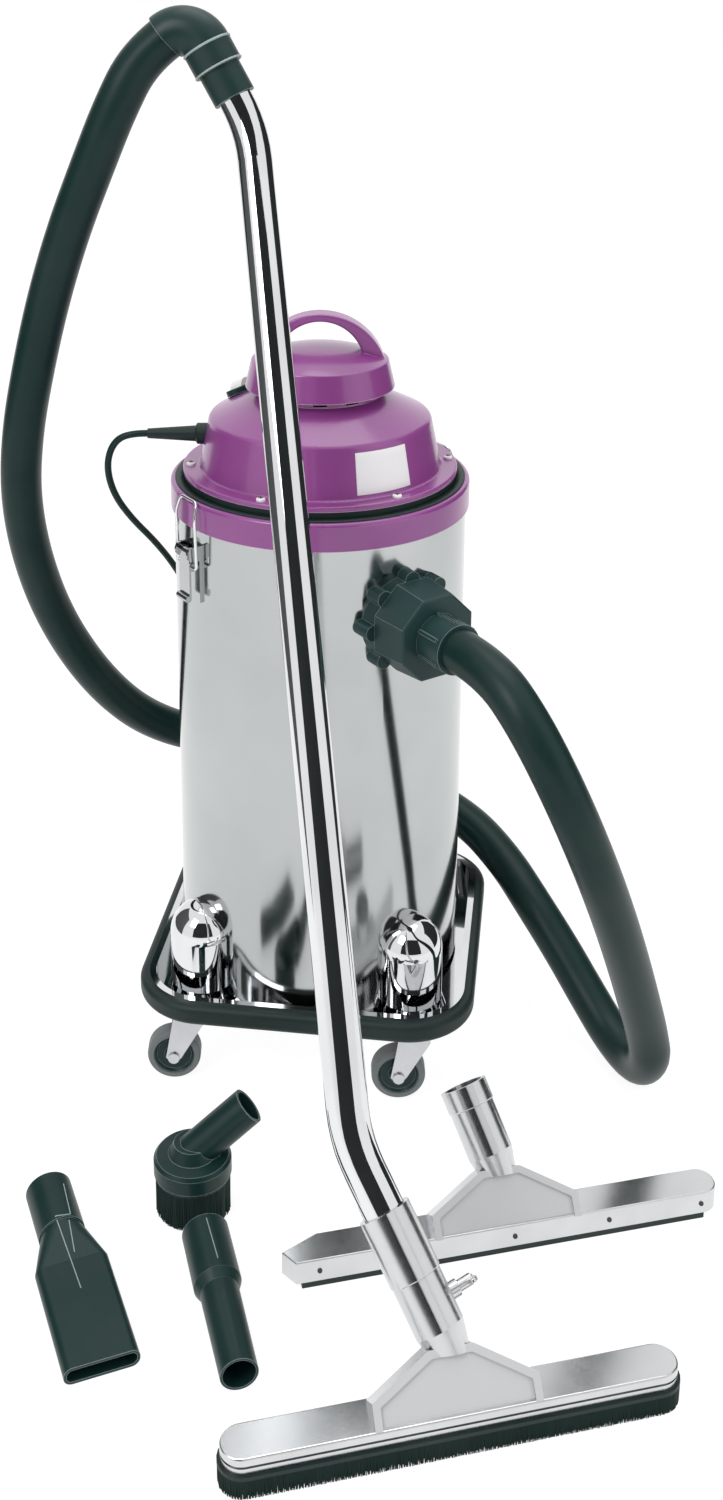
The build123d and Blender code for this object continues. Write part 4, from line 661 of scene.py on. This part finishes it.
# %% Screw heads
def head_tree(name, finish):
    """A flattened ball on every point."""
    tree, start, end, keys = open_tree(name, Radius=0.005, Rise=0.4, Segments=16, Rings=8)
    link = tree.links.new
    ball = node(tree, "GeometryNodeMeshUVSphere")
    for key in ("Radius", "Segments", "Rings"):
        link(start.outputs[key], ball.inputs[key])
    flat = node(tree, "ShaderNodeCombineXYZ")
    flat.inputs["X"].default_value = 1.0
    flat.inputs["Y"].default_value = 1.0
    link(start.outputs["Rise"], flat.inputs["Z"])
    stand = node(tree, "GeometryNodeInstanceOnPoints")
    link(start.outputs["Geometry"], stand.inputs["Points"])
    link(ball.outputs["Mesh"], stand.inputs["Instance"])
    link(flat.outputs["Vector"], stand.inputs["Scale"])
    close_tree(tree, stand.outputs["Instances"], finish, end)
    return tree, keys


def heads(name, points, finish, sizes, body):
    """One ball head on each point; sizes are the tree's inputs by name."""
    return grow(name, points, [], head_tree(name + "_tree", finish), sizes, body)


SCREW_CIRCLE = 0.1455
SCREW_FIRST = math.radians(34.4)
SCREW_COUNT = 6
SCREW_SUNK = 0.0012
PAN_HEAD = {"Radius": 0.0052, "Rise": 0.32, "Segments": 16, "Rings": 8}
screw_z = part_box("housing_screws")[1][2] - SCREW_SUNK
bearings = [SCREW_FIRST + 2 * math.pi * k / SCREW_COUNT for k in range(SCREW_COUNT)]
screws = [(SCREW_CIRCLE * math.sin(a), -SCREW_CIRCLE * math.cos(a), screw_z) for a in bearings]
heads("flange_screw_heads", screws, white, PAN_HEAD, "head")

# %% [markdown]
# The driver's cross is two bars let into the top of each head. Their dark colour is painted shade for
# the deep slots, so they get a tree of their own, because a tree ends in one finish.

# %% Screw slots
def cross_tree(name, finish):
    """Two crossed bars on every point."""
    tree, start, end, keys = open_tree(name, Long=0.006, Wide=0.0013, Deep=0.0009)
    link = tree.links.new
    join = node(tree, "GeometryNodeJoinGeometry")
    for along, across in (("Long", "Wide"), ("Wide", "Long")):
        size = node(tree, "ShaderNodeCombineXYZ")
        bar = node(tree, "GeometryNodeMeshCube")
        link(start.outputs[along], size.inputs["X"])
        link(start.outputs[across], size.inputs["Y"])
        link(start.outputs["Deep"], size.inputs["Z"])
        link(size.outputs["Vector"], bar.inputs["Size"])
        link(bar.outputs["Mesh"], join.inputs["Geometry"])
    stand = node(tree, "GeometryNodeInstanceOnPoints")
    link(start.outputs["Geometry"], stand.inputs["Points"])
    link(join.outputs["Geometry"], stand.inputs["Instance"])
    close_tree(tree, stand.outputs["Instances"], finish, end)
    return tree, keys


CROSS = {"Long": 0.0057, "Wide": 0.00125, "Deep": 0.0009}
slot_z = screw_z + PAN_HEAD["Radius"] * PAN_HEAD["Rise"]
slots = [(x, y, slot_z) for x, y, z in screws]
cross = cross_tree("driver_cross", slot_shade_and_rivet_dark)
grow("flange_screw_slots", slots, [], cross, CROSS, "head")

# %% [markdown]
# Five small dark rivets along the squeegee's front hold its blade. They are the same heads as full
# balls, sunk to their middles in the lip. The drum's weld is a row of beads up its back; there are
# hundreds of them, so each has only a few faces.

# %% Rivets
SQUEEGEE_AT = (0.1886, -0.3792)
SQUEEGEE_HALF_W = 0.018
RIVET_COUNT = 5
RIVET_FIRST = -0.198
RIVET_STEP = 0.1025
RIVET_Z = 0.0185
RIVET_HEAD = {"Radius": 0.0026, "Rise": 1.0, "Segments": 16, "Rings": 8}
along_lip = [RIVET_FIRST + RIVET_STEP * k for k in range(RIVET_COUNT)]
rivets = [in_tool(SQUEEGEE_AT, x, -SQUEEGEE_HALF_W, RIVET_Z) for x in along_lip]
heads("squeegee_rivets", rivets, slot_shade_and_rivet_dark, RIVET_HEAD, "machine")

# %% Weld
DRUM_R = 0.165
WELD_BEARING = math.radians(158)
WELD_LOW, WELD_HIGH, WELD_STEP = 0.16, 0.668, 0.0022
WELD_BEAD = {"Radius": 0.0016, "Rise": 1.0, "Segments": 8, "Rings": 4}
weld_count = int((WELD_HIGH - WELD_LOW) / WELD_STEP)
weld_x, weld_y = DRUM_R * math.sin(WELD_BEARING), -DRUM_R * math.cos(WELD_BEARING)
weld = [(weld_x, weld_y, WELD_LOW + WELD_STEP * k) for k in range(weld_count)]
heads("drum_weld", weld, steel, WELD_BEAD, "machine")

# %% [markdown]
# Moulding lines on the nozzles
#
# The flat nozzle's shoulder carries a long raised wedge, and the round one a seam along its collar.
# They are thin ribs on a curved surface. A ray from the camera through a place in the picture finds
# the point on the nozzle; a tree then runs a thin round section along the line of such points. The
# ribs' pale colour is a painted highlight, for the light that catches these moulded edges.

# %% Rib tree
def rib_tree(name, finish):
    """A round section along every line."""
    tree, start, end, keys = open_tree(name, Radius=0.0006, Sides=8)
    link = tree.links.new
    line = node(tree, "GeometryNodeMeshToCurve")
    section = node(tree, "GeometryNodeCurvePrimitiveCircle")
    run = node(tree, "GeometryNodeCurveToMesh")
    run.inputs["Fill Caps"].default_value = True
    link(start.outputs["Geometry"], line.inputs["Mesh"])
    link(start.outputs["Radius"], section.inputs["Radius"])
    link(start.outputs["Sides"], section.inputs["Resolution"])
    link(line.outputs["Curve"], run.inputs["Curve"])
    link(section.outputs["Curve"], run.inputs["Profile Curve"])
    close_tree(tree, run.outputs["Mesh"], finish, end)
    return tree, keys


def surface_of(name):
    """A CAD node's surface, ready for rays."""
    mesh = nodes[name].data
    return BVHTree.FromPolygons([v.co for v in mesh.vertices], [p.vertices for p in mesh.polygons])


def point_on(surface, u, v):
    """The first point of a surface behind the picture's point (u, v)."""
    across = (u - LENS_CENTRE_PX[0]) / FOCAL_PX
    up = (LENS_CENTRE_PX[1] - v) / FOCAL_PX
    ray = portrait.rotation_euler.to_matrix() @ Vector((across, up, -1))
    return surface.ray_cast(Vector(CAMERA_AT), ray.normalized())[0]


print("rays start at", CAMERA_AT)

# %% Nozzle ribs
RIB_STEPS = 14
FLAT_RIBS = [
    [(63.5, 1184), (70.5, 1214), (55.5, 1216), (81, 1288)],
    [(69, 1220), (74.6, 1252)],
]
ROUND_RIBS = [[(206.4, 1218), (218, 1258)]]


def ribs(name, carrier, lines, sizes):
    """Raised lines on a node, along straight runs of the picture, painted pale as a highlight."""
    surface = surface_of(carrier)
    points = []
    edges = []
    for line in lines:
        for (u0, v0), (u1, v1) in zip(line, line[1:]):
            found = []
            for k in range(RIB_STEPS + 1):
                share = k / RIB_STEPS
                place = point_on(surface, u0 + (u1 - u0) * share, v0 + (v1 - v0) * share)
                if place is not None:
                    found.append(tuple(place))
            first = len(points)
            points += found
            edges += [(first + k, first + k + 1) for k in range(len(found) - 1)]
    return grow(name, points, edges, rib_tree(name + "_tree", rib_highlight_paint), sizes, "machine")


ribs("flat_nozzle_ribs", "flat_nozzle", FLAT_RIBS, {"Radius": 0.0006, "Sides": 8})
ribs("round_nozzle_rib", "round_nozzle", ROUND_RIBS, {"Radius": 0.0005, "Sides": 8})

# %% [markdown]
# The wand's cuff has a rounded bead round its bend and another at the step above the wand. Both are
# full rings, square to the wand's axis, and the same tree runs its section round them. Their pale
# colour is a painted highlight on the beads, as on the nozzle ribs.

# %% Cuff beads
WAND_TOP = Vector((-0.1037, -0.0660, 1.1667))
WAND_BELOW = Vector((-0.0702, -0.0800, 1.1070))
BEAD_R = 0.0259
BEAD_POINTS = 64
BEAD_SIDES = 10
CUFF_BEADS = (("cuff_bead_high", 0.026, 0.0014), ("cuff_bead_low", 0.0012, 0.0011))


def ring_round(origin, axis, radius, count):
    """Points of a circle square to an axis."""
    side = axis.orthogonal().normalized()
    other = axis.cross(side)
    angles = [2 * math.pi * k / count for k in range(count)]
    return [tuple(origin + radius * (side * math.cos(a) + other * math.sin(a))) for a in angles]


wand_up = (WAND_TOP - WAND_BELOW).normalized()
for name, above, thick in CUFF_BEADS:
    loop = ring_round(WAND_TOP + wand_up * above, wand_up, BEAD_R, BEAD_POINTS)
    sizes = {"Radius": thick, "Sides": BEAD_SIDES}
    grow(name, loop, closed_loop(loop), rib_tree(name + "_tree", rib_highlight_paint), sizes, "machine")

# %% [markdown]
# The foam sleeve
#
# The sleeve hangs round the float's cage, out of sight inside the drum until the head is lifted. Cut
# foam is never quite round, so it is a soft tube: rings of points whose radius wanders a little, and
# whose wall draws in at both ends.

# %% Foam sleeve
SLEEVE_SLACK = 0.001
SLEEVE_WALL = 0.004
SLEEVE_AROUND, SLEEVE_RINGS = 72, 14
SLEEVE_LIP, LIP_POWER = 0.004, 6
WAVES = ((0.0006, 5, 9), (0.0004, 11, -17))


def tube_grid(shape, low, high, depth):
    """Rings of points for one side of the wall; depth 0 is the outside."""
    centre = [(a + b) / 2 for a, b in zip(low, high)]
    radius = (high[0] - low[0]) / 2 - SLEEVE_SLACK
    grid = []
    for ring in range(SLEEVE_RINGS + 1):
        share = ring / SLEEVE_RINGS
        lip = SLEEVE_LIP * (abs(2 * share - 1) ** LIP_POWER)
        z = low[2] + (high[2] - low[2]) * share
        row = []
        for k in range(SLEEVE_AROUND):
            angle = 2 * math.pi * k / SLEEVE_AROUND
            waver = sum(size * math.sin(turns * angle + drift * share) for size, turns, drift in WAVES)
            r = radius - depth + waver - lip * (1 if depth == 0 else -1)
            place = (centre[0] + r * math.cos(angle), centre[1] + r * math.sin(angle), z)
            row.append(shape.verts.new(place))
        grid.append(row)
    return grid


def soft_tube(name, low, high, material, body):
    """A closed tube with a wavering wall inside a box."""
    mesh = bpy.data.meshes.new(name)
    shape = bmesh.new()
    outer, inner = [tube_grid(shape, low, high, depth) for depth in (0.0, SLEEVE_WALL)]
    for k in range(SLEEVE_AROUND):
        n = (k + 1) % SLEEVE_AROUND
        for ring in range(SLEEVE_RINGS):
            shape.faces.new((outer[ring][k], outer[ring][n], outer[ring + 1][n], outer[ring + 1][k]))
            shape.faces.new((inner[ring][n], inner[ring][k], inner[ring + 1][k], inner[ring + 1][n]))
        shape.faces.new((outer[-1][k], outer[-1][n], inner[-1][n], inner[-1][k]))
        shape.faces.new((outer[0][n], outer[0][k], inner[0][k], inner[0][n]))
    for face in shape.faces:
        face.smooth = True
    print(name, len(shape.faces), "faces")
    shape.to_mesh(mesh)
    shape.free()
    mesh.materials.append(material)
    return placed(name, mesh, body)


sleeve_low, sleeve_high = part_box("filter_sleeve")
sleeve = soft_tube("foam_sleeve", sleeve_low, sleeve_high, foam, "head")
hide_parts("filter_sleeve")

# %% [markdown]
# The rim seal's lip, with painted gap shade
#
# Between the purple ring and the housing's flange lies a black seal. Its lip spreads over the ring's
# top and is made wide, so a broad dark band shows: partly the black rubber, partly painted shade for
# the shadow gap under the flange. It is turned like a pot: a small rounded section, carried round.

# %% Seal lip and painted gap shade
SEAL_IN, SEAL_OUT = 0.1532, 0.1636
SEAL_CLEAR = 0.0001
SEAL_T = 0.0014
SEAL_ROUND = 0.0006
SEAL_STEPS = 144


def smooth(mesh):
    """Shades all faces as one curved surface."""
    for face in mesh.polygons:
        face.use_smooth = True


def turned(name, section, count, material, body):
    """A ring from a closed section of (radius, height) points, wound so that its faces look out."""
    mesh = bpy.data.meshes.new(name)
    points = []
    for k in range(count):
        angle = 2 * math.pi * k / count
        points += [(r * math.cos(angle), r * math.sin(angle), z) for r, z in section]
    size = len(section)
    faces = []
    for k in range(count):
        here, there = k * size, (k + 1) % count * size
        faces += [(here + j, there + j, there + n, here + n) for j, n in closed_loop(section)]
    mesh.from_pydata(points, [], faces)
    mesh.materials.append(material)
    smooth(mesh)
    print(name, len(faces), "faces")
    return placed(name, mesh, body)


ring_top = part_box("rim_ring")[1][2]
# The lip's width is partly black rubber and partly painted shade for the shadow gap under the flange.
seal_lip_and_gap_shade_section = [
    (SEAL_IN, ring_top + SEAL_CLEAR),
    (SEAL_OUT, ring_top + SEAL_CLEAR),
    (SEAL_OUT, ring_top + SEAL_T - SEAL_ROUND),
    (SEAL_OUT - SEAL_ROUND, ring_top + SEAL_T),
    (SEAL_IN, ring_top + SEAL_T),
]
turned("rim_seal_lip_and_painted_gap_shade", seal_lip_and_gap_shade_section, SEAL_STEPS, rubber, "head")

# %% [markdown]
# The label plate
#
# A small white plate sits on the housing's slope. It is left bare. Its corners follow the cone, so it
# is a bent grid; Solidify gives it a little thickness and Bevel a rounded edge.

# %% Label plate
HOUSING_LOW_R, HOUSING_HIGH_R = 0.136, 0.1245
HOUSING_LOW_Z, HOUSING_HIGH_Z = 0.7208, 0.7768
LABEL_BEARINGS = (17, 46)
LABEL_LEVELS = (0.7255, 0.7700)
LABEL_PROUD = 0.0007
LABEL_T = 0.0012
LABEL_EDGE = 0.0003
LABEL_ACROSS, LABEL_UP = 18, 6


def housing_radius(z):
    """The housing's slope, as a cone."""
    share = (z - HOUSING_LOW_Z) / (HOUSING_HIGH_Z - HOUSING_LOW_Z)
    return HOUSING_LOW_R + (HOUSING_HIGH_R - HOUSING_LOW_R) * share


def bent_plate(name, bearings, levels, material):
    """A plate that follows the housing between two bearings in degrees and two heights."""
    points = []
    for row in range(LABEL_UP + 1):
        z = levels[0] + (levels[1] - levels[0]) * row / LABEL_UP
        r = housing_radius(z) + LABEL_PROUD
        for column in range(LABEL_ACROSS + 1):
            a = math.radians(bearings[0] + (bearings[1] - bearings[0]) * column / LABEL_ACROSS)
            points.append((r * math.sin(a), -r * math.cos(a), z))
    wide = LABEL_ACROSS + 1
    corners = [row * wide + column for row in range(LABEL_UP) for column in range(LABEL_ACROSS)]
    mesh = bpy.data.meshes.new(name)
    mesh.from_pydata(points, [], [(c, c + 1, c + wide + 1, c + wide) for c in corners])
    mesh.materials.append(material)
    smooth(mesh)
    made = bpy.data.objects.new(name, mesh)
    scene.collection.objects.link(made)
    thick = made.modifiers.new("thickness", "SOLIDIFY")
    thick.thickness = LABEL_T
    thick.offset = -1
    edge = made.modifiers.new("edge", "BEVEL")
    edge.width = LABEL_EDGE
    edge.segments = 2
    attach(made, "head")
    print(name, len(points), "points")


bent_plate("label_plate", LABEL_BEARINGS, LABEL_LEVELS, label)

# %% [markdown]
# Hose and mains cord
#
# A hose is a smooth line with a round section. A NURBS curve through the route's points, of order 3
# and clamped at its ends, gives that line, and the curve's bevel gives the section.

# %% Smooth lines
LINE_STEPS = 8


def smooth_line(name, points, radius, rounding):
    """NURBS curve with a round bevel; rounding is the bevel's resolution."""
    data = bpy.data.curves.new(name, "CURVE")
    data.dimensions = "3D"
    data.bevel_depth = radius
    data.bevel_resolution = rounding
    data.resolution_u = LINE_STEPS
    data.use_fill_caps = True
    spline = data.splines.new("NURBS")
    spline.points.add(len(points) - 1)
    for target, place in zip(spline.points, points):
        target.co = (*place, 1)
    spline.order_u = 3
    spline.use_endpoint_u = True
    spline.resolution_u = LINE_STEPS
    made = bpy.data.objects.new(name, data)
    scene.collection.objects.link(made)
    print(name, len(points), "points of the route")
    return made


print("lines have", LINE_STEPS, "steps between points")

# %% Hose
HOSE_R = 0.0235
HOSE_ROUNDING = 10
HOSE_ROUTE = [
    (0.14286, -0.21998, 0.589),
    (0.17281, -0.26611, 0.589),
    (0.2058, -0.3167, 0.554),
    (0.2418, -0.3367, 0.485),
    (0.275, -0.321, 0.403),
    (0.305, -0.283, 0.317),
    (0.330, -0.244, 0.237),
    (0.351, -0.209, 0.165),
    (0.367, -0.182, 0.108),
    (0.377, -0.168, 0.062),
    (0.371, -0.134, 0.0235),
    (0.350, -0.086, 0.025),
    (0.325, -0.040, 0.052),
    (0.296, 0.004, 0.090),
    (0.264, 0.048, 0.127),
    (0.236, 0.103, 0.152),
    (0.193, 0.162, 0.177),
    (0.118, 0.212, 0.199),
    (0.022, 0.239, 0.222),
    (-0.072, 0.241, 0.243),
    (-0.150, 0.225, 0.264),
    (-0.208, 0.196, 0.296),
    (-0.252, 0.160, 0.345),
    (-0.292, 0.128, 0.412),
    (-0.325, 0.095, 0.496),
    (-0.343, 0.063, 0.586),
    (-0.347, 0.035, 0.672),
    (-0.337, 0.013, 0.752),
    (-0.319, -0.005, 0.830),
    (-0.297, -0.018, 0.912),
    (-0.270, -0.030, 0.992),
    (-0.239, -0.042, 1.066),
    (-0.215, -0.050, 1.122),
    (-0.1873, -0.0472, 1.1754),
    (-0.1581, -0.0511, 1.1976),
]
hose = smooth_line("hose_line", HOSE_ROUTE, HOSE_R, HOSE_ROUNDING)
hose.data.materials.append(sheath)
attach(hose, "machine")
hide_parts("hose")

# %% [markdown]
# The mains cord leaves the gland, drops behind the drum and ends in a tied coil. The coil's turns are
# more points of the same line: half turns of slowly changing radius, layer upon layer. The half turns
# beside a change of layer step half as far again in or out, so that the strand clears its neighbours.

# %% Coil
COIL_AT = (0.018, 0.296)
COIL_R = 0.060
COIL_PITCH = 0.0088
COIL_LAYERS = 4
COIL_LOOPS = 3
COIL_FLOOR = 0.0059
CLIMB_STEP = 1.5
POINTS_PER_HALF = 7
SWELL_POWER = 1.5
TAIL = 0.044
TAIL_Z = 0.007
TAIL_SHARES = (0.1, 0.45, 0.8, 1.0)
TAIL_DROP = 1.25


def coil_stops():
    """Where the coil crosses its own axis, each half turn, from the top layer down."""
    stops = []
    side = 1
    radius = COIL_R
    step = -COIL_PITCH / 2
    halves = 2 * COIL_LOOPS
    for layer in range(COIL_LAYERS):
        z = COIL_FLOOR + (COIL_LAYERS - 1 - layer) * COIL_PITCH
        for k in range(halves):
            stops.append((side * radius, z))
            side = -side
            leaves_layer = k == halves - 1 and layer < COIL_LAYERS - 1
            enters_layer = k == 0 and layer > 0
            radius += CLIMB_STEP * step if leaves_layer or enters_layer else step
        stops.append((side * radius, z))
        side = -side
        step = -step
    return stops


def coil_points():
    """The coil's turns and the straight tail to the plug."""
    points = []
    stops = coil_stops()
    heading = 1
    swell = 1 / math.cos(math.pi / POINTS_PER_HALF / 2) ** SWELL_POWER
    for (x0, z0), (x1, z1) in zip(stops, stops[1:]):
        centre = (x0 + x1) / 2
        for k in range(POINTS_PER_HALF):
            share = (k + 0.5) / POINTS_PER_HALF
            angle = math.pi * share
            x = centre + (x0 - centre) * math.cos(angle) * swell
            y = heading * abs(x0 - centre) * math.sin(angle) * swell
            points.append((COIL_AT[0] + y, COIL_AT[1] - x, z0 + (z1 - z0) * share))
        heading = -heading
    x1, z1 = stops[-1]
    for share in TAIL_SHARES:
        z = z1 + (TAIL_Z - z1) * min(1, share * TAIL_DROP)
        points.append((COIL_AT[0] + heading * TAIL * share, COIL_AT[1] - x1, z))
    return points


print("coil", COIL_LAYERS * COIL_LOOPS, "loops in", COIL_LAYERS, "layers")

# %% Mains cord
CORD_R = 0.004
CORD_ROUNDING = 4
CORD_ROUTE = [
    (-0.1943, 0.0, 0.754),
    (-0.217, 0.0, 0.754),
    (-0.235, 0.004, 0.740),
    (-0.243, 0.010, 0.711),
    (-0.237, 0.021, 0.674),
    (-0.219, 0.040, 0.637),
    (-0.196, 0.066, 0.600),
    (-0.175, 0.096, 0.556),
    (-0.154, 0.122, 0.500),
    (-0.128, 0.146, 0.436),
    (-0.102, 0.163, 0.366),
    (-0.080, 0.176, 0.296),
    (-0.066, 0.191, 0.230),
    (-0.058, 0.212, 0.168),
    (-0.056, 0.229, 0.116),
    (-0.048, 0.236, 0.078),
    (-0.031, 0.236, 0.049),
]
LEAD_IN = (-0.004, 0.236)
lead_in = [(*LEAD_IN, coil_stops()[0][1])]
cord_line = smooth_line("cord_line", CORD_ROUTE + lead_in + coil_points(), CORD_R, CORD_ROUNDING)
cord_line.data.materials.append(sheath)

# %% [markdown]
# The gland rises with the head when the head is lifted off, and the coil stays on the floor, so the
# cord has to give. Here its line is turned into a mesh, which is put on neither body. The same line
# without its round section is turned into a mesh as well, and that mesh is removed again.

bpy.context.view_layer.update()
cord = bpy.data.objects.new("mains_lead", plain_mesh(cord_line))
scene.collection.objects.link(cord)
cord_line.data.bevel_depth = 0
bpy.context.view_layer.update()
bare_line = plain_mesh(cord_line)
bpy.data.meshes.remove(bare_line)
bpy.data.objects.remove(cord_line)
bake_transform(cord)
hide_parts("mains_cord", "cord_coil")

# %% [markdown]
# The studio
#
# White surroundings, a large soft key light from the upper left, a fill from the right and a light
# from above. The white is at full strength only where it is seen, straight or in a reflection, so
# that the shadows on the machine keep some depth.

# %% Surroundings
SHADE_LIGHT, SEEN_LIGHT = 0.55, 1.0


def seen_directly(tree):
    """1 on rays from the camera, and on those that metal and glass send on; 0 on the rest."""
    light_path = node(tree, "ShaderNodeLightPath")
    value = light_path.outputs["Is Camera Ray"]
    for ray in ("Is Glossy Ray", "Is Transmission Ray"):
        either = node(tree, "ShaderNodeMath", operation="MAXIMUM")
        tree.links.new(value, either.inputs[0])
        tree.links.new(light_path.outputs[ray], either.inputs[1])
        value = either.outputs["Value"]
    return value


world = bpy.data.worlds.new("white_room")
scene.world = world
world.use_nodes = True
tree = world.node_tree
background = tree.nodes["Background"]
background.inputs["Color"].default_value = (1, 1, 1, 1)
strength = spread(tree, seen_directly(tree), SHADE_LIGHT, SEEN_LIGHT)
tree.links.new(strength, background.inputs["Strength"])
print("surroundings", SHADE_LIGHT, "to", SEEN_LIGHT)

# %% Lamps
def lamp(name, place, aim, size, power):
    """A rectangular area light that looks at a point."""
    data = bpy.data.lights.new(name, "AREA")
    data.shape = "RECTANGLE"
    data.size, data.size_y = size
    data.energy = power
    made = bpy.data.objects.new(name, data)
    made.location = place
    made.rotation_euler = (Vector(aim) - Vector(place)).to_track_quat("-Z", "Y").to_euler()
    scene.collection.objects.link(made)
    print(name, power, "W")
    return made


lamp("key_light", place=(-1.6, -1.8, 2.6), aim=(0, -0.1, 0.6), size=(1.2, 1.6), power=34)
fill = lamp("fill_light", place=(2.2, -1.2, 1.6), aim=(0, -0.2, 0.5), size=(1.0, 1.8), power=14)
fill.visible_glossy = False
lamp("top_light", place=(0.2, 0.4, 3.0), aim=(0, -0.1, 0.5), size=(1.6, 1.6), power=16)

# %% [markdown]
# Chrome only shows what stands around it. So three upright screens stand outside the picture, in
# front and at both sides: they draw the dark streaks along the wand and the drum. Neither the camera
# nor the soft light sees them.

# %% Screens
DARK = (0.012, 0.016, 0.016)
GREY = (0.10, 0.105, 0.105)
CARD_ROUGH = 0.9


def screen(name, foot, low, high, colour):
    """An upright card over a line on the floor, from one height to another."""
    (x0, y0), (x1, y1) = foot
    mesh = bpy.data.meshes.new(name)
    mesh.from_pydata([(x0, y0, low), (x1, y1, low), (x1, y1, high), (x0, y0, high)], [], [(0, 1, 2, 3)])
    material, _, _ = new_finish(name + "_paint", colour, CARD_ROUGH)
    mesh.materials.append(material)
    made = bpy.data.objects.new(name, mesh)
    scene.collection.objects.link(made)
    made.visible_camera = False
    made.visible_shadow = False
    made.visible_diffuse = False
    print(name, "up to", high, "m")


screen("dark_screen_front", foot=((-1.85, -2.9), (2.1, -2.9)), low=0.3, high=3.8, colour=DARK)
screen("dark_screen_right", foot=((2.3, -0.15), (1.6, 2.2)), low=0.0, high=2.4, colour=DARK)
screen("dark_screen_left", foot=((-2.3, -0.8), (-2.0, 1.6)), low=0.0, high=2.4, colour=GREY)

# %% [markdown]
# The floor is white paper that takes soft shadows. Paper lit by lamps alone turns grey towards the
# horizon, so a glow is mixed in where it is seen, and it fades into the white behind it.

# %% Floor
FLOOR_REACH = 12.0
FLOOR_Z = -0.0005
FLOOR_WHITE = (0.9, 0.9, 0.9)
FLOOR_GLOW = 1.26
GLOW_SHARE = 0.7

floor_mesh = bpy.data.meshes.new("floor")
floor_corners = [(-1, -1), (1, -1), (1, 1), (-1, 1)]
floor_mesh.from_pydata(
    [(x * FLOOR_REACH, y * FLOOR_REACH, FLOOR_Z) for x, y in floor_corners], [], [(0, 1, 2, 3)]
)
floor = bpy.data.objects.new("floor", floor_mesh)
scene.collection.objects.link(floor)
floor_paint, tree, shader = new_finish("floor_paper", FLOOR_WHITE, CARD_ROUGH)
floor_mesh.materials.append(floor_paint)
glow = node(tree, "ShaderNodeEmission")
glow.inputs["Strength"].default_value = FLOOR_GLOW
mix = node(tree, "ShaderNodeMixShader")
tree.links.new(spread(tree, seen_directly(tree), 0.0, GLOW_SHARE), mix.inputs["Fac"])
tree.links.new(shader.outputs["BSDF"], mix.inputs[1])
tree.links.new(glow.outputs["Emission"], mix.inputs[2])
tree.links.new(mix.outputs["Shader"], tree.nodes["Material Output"].inputs["Surface"])
print("floor reaches", FLOOR_REACH, "m each way")
